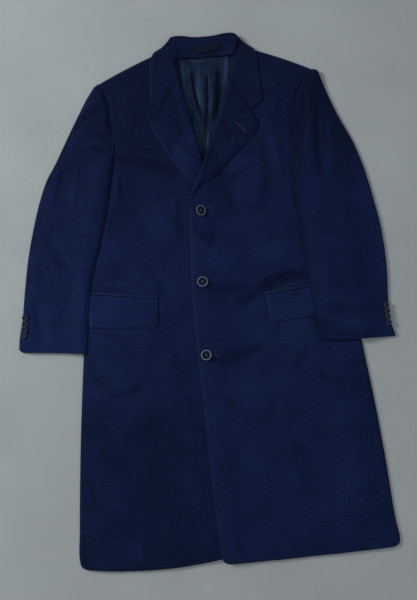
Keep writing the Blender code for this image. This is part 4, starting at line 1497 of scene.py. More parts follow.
@dataclass
class Sleeve(SewnPiece):
    """Half of a sleeve: the under sleeve lies flat, and the top sleeve rolls down over it."""

    on_top: bool = True
    inner_right: bool = True
    pitch: float = 4.2
    bridge: float = 14.0
    wave: float = 0.9
    climb: Ramp = Ramp(426.0, -42.0)
    fullness: float = 3.6
    middle_rise: Ramp = Ramp(0.0, 34.0)
    head_rise: Ramp = Ramp(0.0, 40.0)
    flatter: float = 0.35
    forearm: Ramp = Ramp(90.0, -60.0)
    wadding: float = 3.0
    wadding_fall: Ramp = Ramp(0.0, -190.0, 1.0)
    wadding_seam: Ramp = Ramp(0.0, 9.0)
    wadding_side: Ramp = Ramp(0.0, 14.0)
    head_lift: float = 0.0
    lift_reach: float = 34.0
    lift_rise: Ramp = Ramp(412.0, 44.0)
    cuff_wall: float = 0.5
    cuff_turn: Ramp = Ramp(38.0, -4.0)
    seam_thin: float = 1.3
    seam_rise: Ramp = Ramp(0.0, 14.0)
    side_free: Ramp = Ramp(0.0, 14.0, 0.1)
    # painted shade: along the edge on the body, as a dark line on its rim, and over the head
    edge_shade: float = 0.0
    edge_reach: float = 13.0
    rim_shade: float = 0.0
    rim_reach: float = 2.6
    rim_head: Ramp = Ramp(390.0, -60.0)
    head_shade: float = 0.0
    shaded_head: Ramp = Ramp(230.0, 150.0)
    seam_roll: float = 0.10
    free_roll: Ramp = Ramp(372.0, -30.0)

    def needed(self, pile: Pile, spot: Spot) -> np.ndarray:
        """Above the armpit the sleeve lies beside the front, and below it on the front.

        Args:
            pile: what is laid.
            spot: where the points are.

        Returns:
            The heights to clear.
        """
        body = [name for name in self.rests_on if not name.startswith("under_sleeve")]
        need = pile.read(pile.ground(body, self.gap), spot.x, spot.y) * self.climb.at(spot.y)
        if self.on_top:
            sleeve = [name for name in self.rests_on if name.startswith("under_sleeve")]
            need = np.maximum(need, pile.read(pile.ground(sleeve, self.gap), spot.x, spot.y))
        return need

    def inner(self, spot: Spot) -> np.ndarray:
        """Distance from the edge beside the body. Args: the points. Returns: the distance."""
        return spot.from_right if self.inner_right else spot.from_left

    def loft(self, spot: Spot) -> np.ndarray:
        """Fullness along the middle, and the puffed head. Args: the points. Returns: the room."""
        if not self.on_top:
            return np.zeros_like(spot.x)
        middle = self.middle_rise.at(spot.from_sides())
        head = self.wadding_fall.at(spot.from_head) * self.wadding_seam.at(self.inner(spot))
        head = head * self.wadding_side.at(spot.from_sides())
        flat = 1.0 - self.flatter * self.forearm.at(spot.y)
        meets = self.head_lift * np.exp(-(self.inner(spot) / self.lift_reach) ** 2)
        meets = meets * self.lift_rise.at(spot.y)
        return self.fullness * flat * middle * self.head_rise.at(spot.from_head) + self.wadding * head + meets

    def thickness(self, spot: Spot) -> np.ndarray:
        """Cloth and the turned-up cuff. Args: the points. Returns: the wall."""
        cuff = self.cuff_turn.at(spot.from_foot) if self.on_top else 0.0
        edge = 1.0 - self.seam_rise.at(self.inner(spot))
        return self.wall + self.cuff_wall * cuff - self.seam_thin * edge

    def keep_down(self, spot: Spot) -> np.ndarray:
        """Folds reach close to the edges of the top sleeve. Args: the points. Returns: 0 to 1."""
        return self.side_free.at(spot.from_sides()) if self.on_top else np.zeros_like(spot.x)

    def painted_tone(self, spot: Spot) -> np.ndarray:
        """Painted shade along the edge on the body, as a dark line on that edge, and at the head. Args: the
        points. Returns: the tone.
        """
        edge = np.exp(-(self.inner(spot) / self.edge_reach) ** 2)
        rim = np.exp(-(self.inner(spot) / self.rim_reach) ** 2) * self.rim_head.at(spot.y)
        tone = super().painted_tone(spot) - self.edge_shade * edge - self.head_shade * self.shaded_head.at(spot.y)
        return tone - self.rim_shade * rim

    def rolls(self, spot: Spot) -> tuple[Any, Any, Any, Any]:
        """The top sleeve turns down at its edges, least at the armhole. Args: the points. Returns: shares."""
        if not self.on_top:
            return 0.0, 0.0, 0.0, 0.0
        seam = np.maximum(self.free_roll.at(spot.y), self.seam_roll)
        return (1.0, seam, 0.0, 0.0) if self.inner_right else (seam, 1.0, 0.0, 0.0)


@dataclass
class PocketFlap(SewnPiece):
    """A pocket flap with rounded lower corners."""

    wall: float = 3.2
    pitch: float = 2.6
    bridge: float = 9.0
    seed: int = 9
    wave: float = 0.3
    fine: tuple[float, ...] = STITCHED_FINE
    stitched: tuple[str, ...] = ("left", "right", "foot")
    # painted light: the flap is painted lighter than the front
    painted_lightness: float = 0.40
    foot_lift: float = 0.3
    belly: float = 1.1
    belly_side: Ramp = Ramp(0.0, 30.0)
    belly_foot: Ramp = Ramp(0.0, 24.0)
    rim_thin: float = 1.5
    rim_rise: Ramp = Ramp(0.0, 8.0)

    def loft(self, spot: Spot) -> np.ndarray:
        """The flap bellies a little between its edges. Args: the points. Returns: the room."""
        belly = self.belly * self.belly_side.at(spot.from_sides()) * self.belly_foot.at(spot.from_foot)
        return self.foot_lift * spot.down + belly

    def thickness(self, spot: Spot) -> np.ndarray:
        """Two layers, pressed thin at the rim. Args: the points. Returns: the wall."""
        rim = np.minimum(spot.from_sides(), spot.from_foot)
        return self.wall - self.rim_thin * (1.0 - self.rim_rise.at(rim))


@dataclass
class PocketWelt(SewnPiece):
    """The narrow piped welt along the top of a flap."""

    wall: float = 2.0
    pitch: float = 2.2
    bridge: float = 4.0
    fine: tuple[float, ...] = (0.0, 1.2)
    allowance: tuple[float, float] = (0.0, 0.0041)
    rim_share: float = 0.65
    crown_share: float = 0.5

    def crown(self, spot: Spot) -> np.ndarray:
        """How far the piping is crowned. Args: the points. Returns: 0 at its edges to 1 at its middle."""
        return np.sin(np.pi * np.clip(spot.down, 0.0, 1.0))

    def thickness(self, spot: Spot) -> np.ndarray:
        """A crowned strip. Args: the points. Returns: the wall."""
        return self.wall * (self.rim_share + self.crown_share * self.crown(spot))

    def wear_and_light(self, spot: Spot) -> np.ndarray:
        """The crown of the piping gets a painted highlight. Args: the points. Returns: 0 to 1."""
        return self.crown(spot)


@dataclass
class CollarLeaf(SewnPiece):
    """The collar's leaf from tip to tip, with its fold standing up round the back of the neck."""

    name: str = "collar_leaf"
    sections: Sequence[Section] = COLLAR_LEAF
    rests_on: tuple[str, ...] = ("back", "lining_back", "front_under", "front_over")
    wall: float = 3.4
    pitch: float = 3.0
    bridge: float = 8.0
    seed: int = 12
    # painted light on the collar leaf
    painted_lightness: float = 0.22
    wave: float = 0.25
    roll_width: float = 5.0
    fine: tuple[float, ...] = STITCHED_FINE
    stitched: tuple[str, ...] = ("left",)
    front_fold: float = 2.6
    back_fold: float = 9.0
    neck_back: Ramp = Ramp(560.0, 60.0)
    fold_fall: Ramp = Ramp(0.0, -34.0, 1.0)
    belly: float = 0.6
    belly_rise: Ramp = Ramp(0.0, 12.0)
    rim_thin: float = 1.5
    rim_rise: Ramp = Ramp(0.0, 9.0)
    outer_roll: float = 0.8
    fold_roll: float = 0.55
    back_roll: float = 0.2
    neck_side: Ramp = Ramp(604.0, -20.0)

    def loft(self, spot: Spot) -> np.ndarray:
        """The fold rises towards the back of the neck. Args: the points. Returns: the room."""
        fold = self.front_fold + (self.back_fold - self.front_fold) * self.neck_back.at(spot.y)
        return self.fold_fall.at(spot.from_right) * fold + self.belly * self.belly_rise.at(spot.from_sides())

    def thickness(self, spot: Spot) -> np.ndarray:
        """Two layers, pressed thin at the outer rim. Args: the points. Returns: the wall."""
        rim = np.minimum(spot.from_left, spot.from_head)
        return self.wall - self.rim_thin * (1.0 - self.rim_rise.at(rim))

    def rolls(self, spot: Spot) -> tuple[Any, Any, Any, Any]:
        """The fold turns down into the neck. Args: the points. Returns: the shares."""
        return self.outer_roll, self.fold_roll * self.neck_side.at(spot.y) + self.back_roll, 0.0, 0.0


@dataclass
class CollarStand(SewnPiece):
    """The inside of the collar's stand, with pressed rows across it, a wavy top and tapered ends."""

    name: str = "collar_stand"
    sections: Sequence[Section] = COLLAR_STAND
    rests_on: tuple[str, ...] = ("back", "lining_back", "collar_leaf")
    # painted light on the inside of the stand
    painted_lightness: float = 0.55
    wall: float = 2.8
    pitch: float = 2.2
    bridge: float = 9.0
    seed: int = 14
    wave: float = 0.3
    fine: tuple[float, ...] = (0.0, 1.0)
    pressed_rows: tuple[float, ...] = (8.0, 14.5, 21.0, 27.5, 34.0)
    row_depth: float = 0.2
    row_width: float = 1.6
    bow: float = 2.2
    end_wall: float = 0.2
    end_rise: Ramp = Ramp(0.0, 9.0)
    top_roll: float = 0.8

    def loft(self, spot: Spot) -> np.ndarray:
        """The stand bows up along its middle. Args: the points. Returns: the room."""
        return self.bow * soft(1.0 - 2.0 * np.abs(spot.down - 0.5))

    def thickness(self, spot: Spot) -> np.ndarray:
        """Cloth with a channel at each pressed row. Args: the points. Returns: the wall."""
        rows = sum(np.exp(-((spot.from_head - row) / self.row_width) ** 2) for row in self.pressed_rows)
        ends = self.end_wall + (1.0 - self.end_wall) * self.end_rise.at(spot.from_sides())
        return (self.wall - self.row_depth * rows) * ends

    def rolls(self, spot: Spot) -> tuple[Any, Any, Any, Any]:
        """The upper edge rolls over to the leaf. Args: the points. Returns: the shares."""
        return 0.0, 0.0, 0.0, self.top_roll


@dataclass
class NeckLabel(SewnPiece):
    """The bare woven label, sewn on slightly aslant."""

    name: str = "neck_label"
    sections: Sequence[Section] = NECK_LABEL
    rests_on: tuple[str, ...] = ("collar_stand",)
    wall: float = 0.8
    pitch: float = 2.0
    gap: float = 0.3
    bridge: float = 3.0
    wave: float = 0.15
    cloth: Cloth = Cloth.LABEL
    fine: tuple[float, ...] = (0.0, 0.8)


@dataclass
class StitchTool:
    """Sets stitches along a line on the cloth, with one Geometry Nodes tree for all of them."""

    thread: bpy.types.Material
    seed: int = 4
    least: float = 0.86
    most: float = 1.12
    tree: bpy.types.NodeTree = field(init=False, repr=False)
    sockets: dict[str, str] = field(init=False, repr=False)

    def __post_init__(self) -> None:
        """Build the tree."""
        self.tree = bpy.data.node_groups.new("stitch_row", "GeometryNodeTree")
        face = self.tree.interface
        face.new_socket("Geometry", in_out="INPUT", socket_type="NodeSocketGeometry")
        self.sockets = {}
        for name, value in (("Pitch", 0.0034), ("Length", 0.0024), ("Width", 0.0007), ("Height", 0.0005),
                            ("Turn", 0.0)):
            made = face.new_socket(name, in_out="INPUT", socket_type="NodeSocketFloat")
            made.default_value = value
            self.sockets[name] = made.identifier
        face.new_socket("Geometry", in_out="OUTPUT", socket_type="NodeSocketGeometry")
        given, done = self.node("NodeGroupInput"), self.node("NodeGroupOutput")
        line = self.node("GeometryNodeMeshToCurve", {}, {"Mesh": given.outputs["Geometry"]})
        spaced = self.node("GeometryNodeResampleCurve", {"mode": "LENGTH"},
                           {"Curve": line.outputs["Curve"], "Length": given.outputs["Pitch"]})
        bead = self.node("GeometryNodeMeshUVSphere", {}, {"Segments": 6, "Rings": 5, "Radius": 0.5})
        size = self.node("ShaderNodeCombineXYZ", {},
                         {"X": given.outputs["Length"], "Y": given.outputs["Width"],
                          "Z": given.outputs["Height"]})
        stitch = self.node("GeometryNodeTransform", {}, {"Geometry": bead.outputs["Mesh"],
                                                         "Scale": size.outputs["Vector"]})
        along = self.node("GeometryNodeInputTangent")
        facing = self.node("FunctionNodeAlignRotationToVector", {"axis": "X"}, {"Vector": along.outputs[0]})
        turned = self.node("FunctionNodeAxisAngleToRotation", {}, {"Axis": (0.0, 0.0, 1.0),
                                                                   "Angle": given.outputs["Turn"]})
        both = self.node("FunctionNodeRotateRotation", {"rotation_space": "LOCAL"},
                         {"Rotation": facing.outputs[0], "Rotate By": turned.outputs[0]})
        uneven = self.node("FunctionNodeRandomValue", {"data_type": "FLOAT"},
                           {2: self.least, 3: self.most, "Seed": self.seed})
        placed = self.node("GeometryNodeInstanceOnPoints", {},
                           {"Points": spaced.outputs["Curve"], "Instance": stitch.outputs["Geometry"],
                            "Rotation": both.outputs[0], "Scale": uneven.outputs[1]})
        real = self.node("GeometryNodeRealizeInstances", {}, {"Geometry": placed.outputs["Instances"]})
        dressed = self.node("GeometryNodeSetMaterial", {}, {"Geometry": real.outputs["Geometry"],
                                                            "Material": self.thread})
        self.tree.links.new(dressed.outputs["Geometry"], done.inputs["Geometry"])

    def node(self, kind: str, settings: dict[str, Any] | None = None,
             sockets: dict[Any, Any] | None = None) -> bpy.types.Node:
        """Add a node. Args: its type, settings and sockets. Returns: the node."""
        return add_node(self.tree, kind, settings, sockets)

    def sew(self, name: str, lines: Sequence[np.ndarray], slot: Cloth = Cloth.WOOL,
            **sizes: float) -> bpy.types.Object:
        """Sew rows of stitches.

        Args:
            name: the name of the piece that they make.
            lines: rows of plan points with their heights, in millimetres.
            slot: not used.
            sizes: Pitch, Length, Width and Height in metres, and Turn in radians, where they differ.

        Returns:
            The stitches, as one mesh.
        """
        points, edges = [], []
        for line in lines:
            start = len(points)
            shifted = np.column_stack([line[:, :2] - PLAN_CENTRE, line[:, 2]]) * MM
            points.extend(shifted.tolist())
            edges.extend((start + k, start + k + 1) for k in range(len(line) - 1))
        path = bpy.data.meshes.new(name + "_path")
        path.from_pydata(points, edges, [])
        holder = bpy.data.objects.new(name + "_path", path)
        bpy.context.scene.collection.objects.link(holder)
        maker = holder.modifiers.new("stitches", "NODES")
        maker.node_group = self.tree
        for key, value in sizes.items():
            maker[self.sockets[key]] = value
        graph = bpy.context.evaluated_depsgraph_get()
        mesh = bpy.data.meshes.new_from_object(holder.evaluated_get(graph), depsgraph=graph)
        mesh.name = name
        holder.modifiers.clear()
        bpy.data.objects.remove(holder)
        mesh.polygons.foreach_set("use_smooth", np.ones(len(mesh.polygons), dtype=bool))
        made = put_out(mesh, self.thread)
        made.name = name
        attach(made, BODY)
        log.info("%s: %d faces of thread", name, len(mesh.polygons))
        return made


@dataclass
class Button:
    """A turned four-hole button, sewn on with crossed thread."""

    name: str
    x: float
    y: float
    diameter: float
    height: float
    carrier: SewnPiece
    tilt: float = 0.0
    tilt_towards: float = 0.0
    sides: int = 40
    holes: int = 4
    hole_reach: float = 0.14
    hole_radius: float = 0.085
    thread_size: float = 0.052
    bars: tuple[float, float] = (-0.45, 0.45)
    seat_gap: float = 0.15
    sunk: float = 0.55
    # strength of the painted highlight on the rim
    rub_and_highlight_share: float = 1.0
    rim_inner: Ramp = Ramp(0.72, 0.08)
    rim_outer: Ramp = Ramp(0.98, -0.06)
    rim_height: Ramp = Ramp(0.45, 0.4)

    PROFILE = ((0.0, 0.0), (0.66, 0.0), (0.86, 0.10), (0.97, 0.36), (1.0, 0.60), (0.985, 0.80), (0.93, 0.95),
               (0.86, 1.0), (0.79, 0.96), (0.73, 0.84), (0.68, 0.66), (0.60, 0.55), (0.40, 0.50), (0.0, 0.49))

    def seat(self) -> float:
        """Height of the cloth under the button, in millimetres."""
        carrier = self.carrier
        near = np.hypot(carrier.spot.x - self.x, carrier.spot.y - self.y)
        reach = max(0.5 * self.diameter, 1.01 * float(near.min()))
        return float(carrier.top[near <= reach].max())

    def turned(self) -> bpy.types.Mesh:
        """Turn the blank and drill its holes. Returns: the mesh, about its own middle, in millimetres."""
        shape = bmesh.new()
        radius = 0.5 * self.diameter
        points = [shape.verts.new((r * radius, 0.0, z * self.height)) for r, z in self.PROFILE]
        edges = [shape.edges.new(pair) for pair in zip(points, points[1:])]
        bmesh.ops.spin(shape, geom=points + edges, cent=(0, 0, 0), axis=(0, 0, 1), angle=math.tau,
                       steps=self.sides, use_merge=True)
        bmesh.ops.remove_doubles(shape, verts=shape.verts, dist=1e-4)
        bmesh.ops.recalc_face_normals(shape, faces=shape.faces)
        blank = bpy.data.meshes.new(self.name + "_blank")
        shape.to_mesh(blank)
        shape.free()
        pins = bmesh.new()
        reach = self.hole_reach * self.diameter
        bore = self.hole_radius * self.diameter
        for turn in range(self.holes):
            angle = math.radians(45.0 + 360.0 / self.holes * turn)
            made = bmesh.ops.create_cone(pins, cap_ends=True, segments=12, radius1=bore, radius2=bore,
                                         depth=4.0 * self.height)
            place = (reach * math.cos(angle), reach * math.sin(angle), 0)
            bmesh.ops.translate(pins, verts=made["verts"], vec=place)
        cutter = bpy.data.meshes.new(self.name + "_pins")
        pins.to_mesh(cutter)
        pins.free()
        held = [bpy.data.objects.new(m.name, m) for m in (blank, cutter)]
        for each in held:
            bpy.context.scene.collection.objects.link(each)
        drill = held[0].modifiers.new("holes", "BOOLEAN")
        drill.operation = "DIFFERENCE"
        drill.object = held[1]
        graph = bpy.context.evaluated_depsgraph_get()
        mesh = bpy.data.meshes.new_from_object(held[0].evaluated_get(graph), depsgraph=graph)
        for each in held:
            bpy.data.objects.remove(each)
        return mesh

    def pose(self) -> Matrix:
        """Where the button sits, in metres: tilted on its thread, its lowest edge on the cloth."""
        lift = self.seat_gap + 0.5 * self.diameter * math.sin(self.tilt) * self.sunk
        middle = Vector((*(np.array((self.x, self.y)) - PLAN_CENTRE), self.seat() + lift)) * MM
        hinge = Vector((math.cos(self.tilt_towards), math.sin(self.tilt_towards), 0.0))
        lean = Matrix.Rotation(self.tilt, 4, hinge)
        return Matrix.Translation(middle) @ lean @ Matrix.Scale(MM, 4)

    def build(self, wardrobe: Wardrobe) -> bpy.types.Object:
        """Make the button and its thread. Args: the finishes. Returns: the button."""
        pose = self.pose()
        mesh = self.turned()
        mesh.name = self.name + "_turned"
        self.rub(mesh)
        mesh.transform(pose)
        made = put_out(mesh, wardrobe.by_cloth[Cloth.BUTTON])
        mesh.polygons.foreach_set("use_smooth", np.ones(len(mesh.polygons), dtype=bool))
        mesh.set_sharp_from_angle(angle=math.radians(50.0))
        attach(made, BODY)
        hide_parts(self.name)
        log.info("%s: top at %.1f mm", self.name, max(v.co.z for v in mesh.vertices) / MM)
        thread = self.crossed_thread()
        thread.transform(pose)
        tied = put_out(thread, wardrobe.thread)
        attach(tied, BODY)
        return made

    def rub(self, mesh: bpy.types.Mesh) -> None:
        """Mark where the blank gets a painted highlight: only its raised rim. Args: the mesh, about its own
        middle.
        """
        points = np.array([v.co for v in mesh.vertices])
        share = np.hypot(points[:, 0], points[:, 1]) / (0.5 * self.diameter)
        rim = self.rim_inner.at(share) * self.rim_outer.at(share)
        rim = rim * self.rim_height.at(points[:, 2] / self.height) * self.rub_and_highlight_share
        mesh.attributes.new("wear_and_highlight", "FLOAT", "POINT").data.foreach_set("value", rim.astype(np.float32))

    def crossed_thread(self) -> bpy.types.Mesh:
        """Two bars of thread across the holes and a shank under the button. Returns: the mesh."""
        shape = bmesh.new()
        reach = self.hole_reach * self.diameter
        size = self.thread_size * self.diameter
        for turn in range(2):
            angle = math.radians(45.0 + 90.0 * turn)
            for side in self.bars:
                bar = bmesh.ops.create_uvsphere(shape, u_segments=8, v_segments=6, radius=1.0)
                shift = Vector((-math.sin(angle), math.cos(angle), 0.0)) * size * side * 2.0
                spread = Matrix.Diagonal((1.25 * reach, 0.8 * size, 0.7 * size, 1.0))
                rise = Vector((0, 0, 0.52 * self.height + 0.25 * size * (1 + turn)))
                place = Matrix.Translation(shift + rise) @ Matrix.Rotation(angle, 4, "Z") @ spread
                bmesh.ops.transform(shape, matrix=place, verts=bar["verts"])
        shank = bmesh.ops.create_cone(shape, cap_ends=True, segments=10, radius1=0.11 * self.diameter,
                                      radius2=0.09 * self.diameter, depth=0.5 * self.height)
        bmesh.ops.translate(shape, verts=shank["verts"], vec=(0, 0, 0.05 * self.height))
        mesh = bpy.data.meshes.new(self.name + "_thread")
        shape.to_mesh(mesh)
        shape.free()
        mesh.polygons.foreach_set("use_smooth", np.ones(len(mesh.polygons), dtype=bool))
        return mesh


@dataclass
class Buttonhole:
    """A worked keyhole buttonhole: two rows of purl stitches and an eyelet at its outer end."""

    name: str
    start: tuple[float, float]
    end: tuple[float, float]
    carrier: SewnPiece
    half_width: float = 1.3
    eyelet: float = 2.3
    purl: float = 1.0
    purl_lift: float = 0.35

    def ring(self, pile: Pile) -> np.ndarray:
        """The line of the purl, round both sides of the slit. Args: the pile. Returns: its points."""
        start, end = np.array(self.start, float), np.array(self.end, float)
        run = (end - start) / np.hypot(*(end - start))
        side = np.array((-run[1], run[0]))
        turn = np.linspace(math.radians(-150.0), math.radians(150.0), 13)
        circle = np.cos(turn)[:, None] * run + np.sin(turn)[:, None] * side
        eye = start + run * self.eyelet - self.eyelet * circle
        bar = np.linspace(math.radians(-90.0), math.radians(90.0), 7)
        tail = end + self.half_width * (np.cos(bar)[:, None] * run * 0.6 + np.sin(bar)[:, None] * side)
        reach = np.linspace(0.0, 1.0, 12)[1:-1, None]
        upper = eye[0] * (1 - reach) + tail[-1] * reach
        lower = tail[0] * (1 - reach) + eye[-1] * reach
        flat = np.concatenate([eye, upper, tail[::-1], lower])
        height = pile.read(pile.ground((self.carrier.name,), 0.0, grow=0), flat[:, 0], flat[:, 1])
        return np.column_stack([flat, height + self.purl_lift])

    def work(self, pile: Pile, tool: StitchTool) -> bpy.types.Object:
        """Work the buttonhole. Args: the pile and the stitch tool. Returns: the purl."""
        ring = self.ring(pile)
        return tool.sew(self.name, [np.concatenate([ring, ring[:1]])], Pitch=0.00075,
                        Length=0.0017 * self.purl, Width=0.00062, Height=0.0008 * self.purl, Turn=math.pi / 2)


@dataclass
class Overcoat:
    """The whole coat: its pieces in the order in which they are laid, and its sewing and buttons."""

    wardrobe: Wardrobe
    pile: Pile = field(default_factory=Pile)
    pieces: dict[str, SewnPiece] = field(default_factory=dict)
    armhole_foot: float = 368.0
    armhole_drop: float = 1.5
    armhole_least: float = 2.9
    shoulder_lift: float = 0.7
    shoulder: Ramp = Ramp(400.0, 70.0)
    gorge_shift: tuple[float, float, float] = (0.0, 0.7, -1.4)
    cuff_step: float = 13.4

    def add(self, piece: SewnPiece) -> SewnPiece:
        """Lay a piece, make it and keep it. Args: the piece. Returns: it."""
        piece.lay(self.pile)
        piece.build(self.wardrobe)
        self.pieces[piece.name] = piece
        return piece

    def lay_body(self) -> None:
        """Lay the back, the lining, the fronts and the lapels."""
        self.add(Back())
        self.add(NeckLining())
        inside = ("back", "lining_back")
        # skirt_shade paints shade over the under front's skirt
        self.add(Front("front_under", FRONT_UNDER, inside, folds=UNDER_FOLDS, seed=2, skirt_shade=0.6))
        # painted light on the under lapel
        self.add(Lapel("lapel_under", LAPEL_UNDER, (*inside, "front_under"), folds=LAPEL_UNDER_FOLDS, seed=6,
                       wave=0.3, stitched=("left", "head"), painted_lightness=0.22))
        below = (*inside, "front_under", "lapel_under")
        self.add(Front("front_over", FRONT_OVER, below, folds=OVER_FOLDS, seed=3, under_left=False,
                       pad=(176.0, 510.0), edge_rise=Ramp(0.0, 60.0, 0.35), stitched=("left",)))
        # painted shade on the over lapel
        self.add(Lapel("lapel_over", LAPEL_OVER, (*below, "front_over"), folds=LAPEL_OVER_FOLDS, seed=7,
                       wave=0.3, fold_right=False, stitched=("right", "head"), painted_lightness=-0.14))

    def lay_pockets_and_sleeves(self) -> None:
        """Lay the welts and flaps, and the sleeves over them."""
        sides = (("left", "front_under", WELT_LEFT, FLAP_LEFT, SLEEVE_LEFT, SLEEVE_LEFT_FOLDS),
                 ("right", "front_over", WELT_RIGHT, FLAP_RIGHT, SLEEVE_RIGHT, SLEEVE_RIGHT_FOLDS))
        for side, front, welt, flap, sleeve, folds in sides:
            self.add(PocketWelt("pocket_welt_" + side, welt, (front,)))
            self.add(PocketFlap("pocket_flap_" + side, flap, (front,)))
            body = ("back", front, "pocket_flap_" + side, "pocket_welt_" + side)
            self.add(Sleeve("under_sleeve_" + side, sleeve, body, tuck=7.0, on_top=False, pitch=6.0, seed=20,
                            inner_right=side == "left"))
            over = (*body, "under_sleeve_" + side)
            if side == "left":
                # painted light on the left top sleeve
                self.add(Sleeve("top_sleeve_left", sleeve, over, folds=folds, seed=21, roll_width=20.0,
                                painted_lightness=0.42))
            else:
                # painted shade on the right top sleeve: over the whole, along its edge on the body, as a dark
                # rim line and at its head
                self.add(Sleeve("top_sleeve_right", sleeve, over, folds=folds, seed=22, roll_width=5.0,
                                painted_lightness=-0.02, inner_right=False, head_lift=4.6, edge_shade=0.8,
                                rim_shade=1.3, head_shade=0.75, middle_rise=Ramp(0.0, 60.0)))

    def lay_collar(self) -> None:
        """Lay the collar's leaf and stand, and the label on the stand."""
        self.add(CollarLeaf())
        self.add(CollarStand())
        self.add(NeckLabel())

    def sew_edges(self) -> None:
        """Pick-stitch the front edge, the lapels, the collar and the flaps, and close the seams."""
        tool = StitchTool(self.wardrobe.thread)
        piece = self.pieces
        tool.sew("front_edge_stitches", [piece["front_over"].line("left", STITCH_INSET, 0.30, 0.62)],
                 Pitch=0.0062, Length=0.0026, Width=0.0011, Height=0.0006)
        for name, side in (("lapel_under", "left"), ("lapel_over", "right")):
            tool.sew(name + "_stitches", [piece[name].line(side, STITCH_INSET, 0.04, 0.97)], Pitch=0.0046)
        tool.sew("collar_stitches", [piece["collar_leaf"].line("left", STITCH_INSET, *span)
                                     for span in ((0.02, 0.30), (0.70, 0.98))], Pitch=0.0046)
        for side in ("left", "right"):
            flap = piece["pocket_flap_" + side]
            tool.sew(f"pocket_flap_{side}_stitches",
                     [flap.line(edge, STITCH_INSET, *span) for edge, span in
                      (("left", (0.05, 0.9)), ("foot", (0.04, 0.96)), ("right", (0.05, 0.9)))], Pitch=0.0042)
        self.close_seams()
        label = piece["neck_label"]
        tool.sew("neck_label_stitches", [label.line(edge, 0.9) for edge in ("left", "right", "head", "foot")],
                 slot=Cloth.LABEL, Pitch=0.0017, Length=0.0012, Width=0.0004, Height=0.0003)
        holes = (("front_buttonhole_1", (-35, 230), (-9, 236), "front_over"),
                 ("front_buttonhole_2", (-41, 69), (-14, 68), "front_over"),
                 ("front_buttonhole_3", (-44, -100), (-14, -101), "front_over"),
                 ("lapel_buttonhole", (81, 404), (61, 425), "lapel_over"))
        for name, start, end, carrier in holes:
            purl = 1.5 if carrier == "lapel_over" else 1.0
            Buttonhole(name, start, end, piece[carrier], purl=purl).work(self.pile, tool)

    def close_seams(self) -> None:
        """Close the armholes and the gorge with the cloth that is drawn into their seams."""
        seam = StitchTool(self.wardrobe.by_cloth[Cloth.WOOL], seed=8)
        sizes = {"Pitch": 0.0012, "Length": 0.0048, "Width": 0.0046, "Height": 0.0034}
        for name, front, side in (("armhole_seam_left", "front_under", "left"),
                                  ("armhole_seam_right", "front_over", "right")):
            line = self.pieces[front].line(side, 0.0)
            line = line[line[:, 1] > self.armhole_foot] - (0.0, 0.0, self.armhole_drop)
            if side == "right":
                line[:, 2] += self.shoulder_lift * self.shoulder.at(line[:, 1])
            line[:, 2] = np.maximum(line[:, 2], self.armhole_least)
            seam.sew(name, [line], **sizes)
        for name, lapel in (("gorge_seam_left", "lapel_under"), ("gorge_seam_right", "lapel_over")):
            line = self.pieces[lapel].line("head", 0.0, 0.03, 0.97) + self.gorge_shift
            seam.sew(name, [line], **sizes)

    def sew_buttons(self) -> None:
        """Sew on the front and cuff buttons."""
        front = self.pieces["front_over"]
        places = ((-34, 229.5, 29.0, 96.0), (-40, 69, 15.0, 4.0), (-43, -99, 14.0, 186.0))
        for number, (x, y, tilt, towards) in enumerate(places, 1):
            Button(f"front_button_{number}", x, y, diameter=25.0, height=4.6, carrier=front,
                   tilt=math.radians(tilt), tilt_towards=math.radians(towards)).build(self.wardrobe)
        for side, x, y, step in (("left", -452, 14, -1.6), ("right", 377, -14, 0.8)):
            for k in range(4):
                # cuff buttons get half the painted rim highlight
                Button(f"cuff_button_{side}_{k + 1}", x + step * k, y - self.cuff_step * k, diameter=13.0,
                       height=3.4, carrier=self.pieces["top_sleeve_" + side], sides=26, rub_and_highlight_share=0.5,
                       tilt=math.radians(4.0 + 3.0 * (k % 2)),
                       tilt_towards=math.radians(70.0 * k)).build(self.wardrobe)
        log.info("11 buttons sewn on")


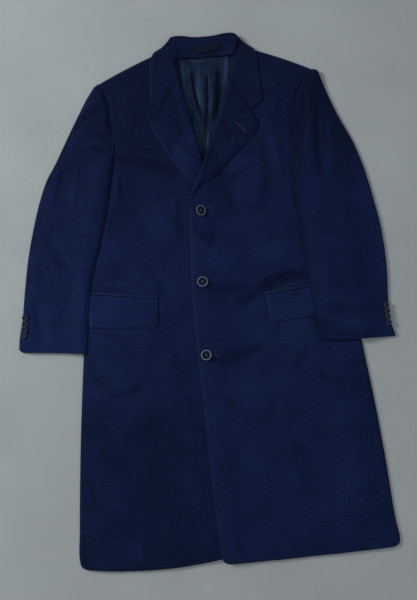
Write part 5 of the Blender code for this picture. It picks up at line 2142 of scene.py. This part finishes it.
@dataclass
class Studio:
    """The floor, the light and the camera, which looks straight down as in the photograph."""

    turn: float = 4.0
    middle: tuple[float, float] = (0.008, 0.002)
    seen_height: float = 1.382
    distance: float = 1.6
    sensor: float = 36.0
    key_power: float = 62.0
    key_place: tuple[float, float, float] = (-2.40, 1.25, 1.75)
    key_size: float = 1.0
    fill_share: float = 0.13
    fill_place: tuple[float, float, float] = (0.5, -0.6, 2.4)
    fill_size: float = 2.2
    world: float = 0.26
    floor_reach: float = 6.0
    floor_drop: float = 0.0002

    def build(self, wardrobe: Wardrobe) -> None:
        """Set the stage. Args: the finishes."""
        self.lay_floor(wardrobe)
        self.hang_lights()
        self.set_camera()

    def lay_floor(self, wardrobe: Wardrobe) -> None:
        """A large plain floor just under the coat. Args: the finishes."""
        mesh = bpy.data.meshes.new("floor")
        reach = self.floor_reach
        corners = [(x * reach, y * reach, -self.floor_drop) for x, y in ((-1, -1), (1, -1), (1, 1), (-1, 1))]
        mesh.from_pydata(corners, [], [(0, 1, 2, 3)])
        put_out(mesh, wardrobe.floor)

    def hang_lights(self) -> None:
        """One broad soft light from the upper left, and an even fill."""
        scene = bpy.context.scene
        fill_power = self.key_power * self.fill_share
        for name, place, size, power in (("key_light", self.key_place, self.key_size, self.key_power),
                                         ("fill_light", self.fill_place, self.fill_size, fill_power)):
            light = bpy.data.lights.new(name, "AREA")
            light.shape = "DISK"
            light.size = size
            light.energy = power
            lamp = bpy.data.objects.new(name, light)
            scene.collection.objects.link(lamp)
            lamp.location = place
            lamp.rotation_mode = "QUATERNION"
            lamp.rotation_quaternion = (Vector((0.0, 0.0, 0.0)) - Vector(place)).to_track_quat("-Z", "Y")
        world = bpy.data.worlds.new("studio_air")
        world.use_nodes = True
        world.node_tree.nodes["Background"].inputs["Color"].default_value = (0.93, 0.97, 1.0, 1.0)
        world.node_tree.nodes["Background"].inputs["Strength"].default_value = self.world
        scene.world = world
        scene.view_settings.view_transform = "Standard"

    def set_camera(self) -> None:
        """A camera straight above, turned so that the coat leans as in the photograph."""
        data = bpy.data.cameras.new("camera")
        data.sensor_width = self.sensor
        data.lens = self.sensor * self.distance / self.seen_height
        data.clip_start, data.clip_end = 0.05, 20.0
        camera = bpy.data.objects.new("camera", data)
        bpy.context.scene.collection.objects.link(camera)
        camera.location = (*self.middle, self.distance)
        camera.rotation_euler = (0.0, 0.0, -math.radians(self.turn))
        bpy.context.scene.camera = camera


def main() -> None:
    """Make the coat and its stage."""
    logging.basicConfig(level=logging.INFO, format="%(name)s: %(message)s")
    wardrobe = Wardrobe()
    Studio().build(wardrobe)
    coat = Overcoat(wardrobe)
    coat.lay_body()
    coat.lay_pockets_and_sleeves()
    coat.lay_collar()
    coat.sew_edges()
    coat.sew_buttons()
    bpy.context.view_layer.update()


if __name__ == "__main__":
    main()
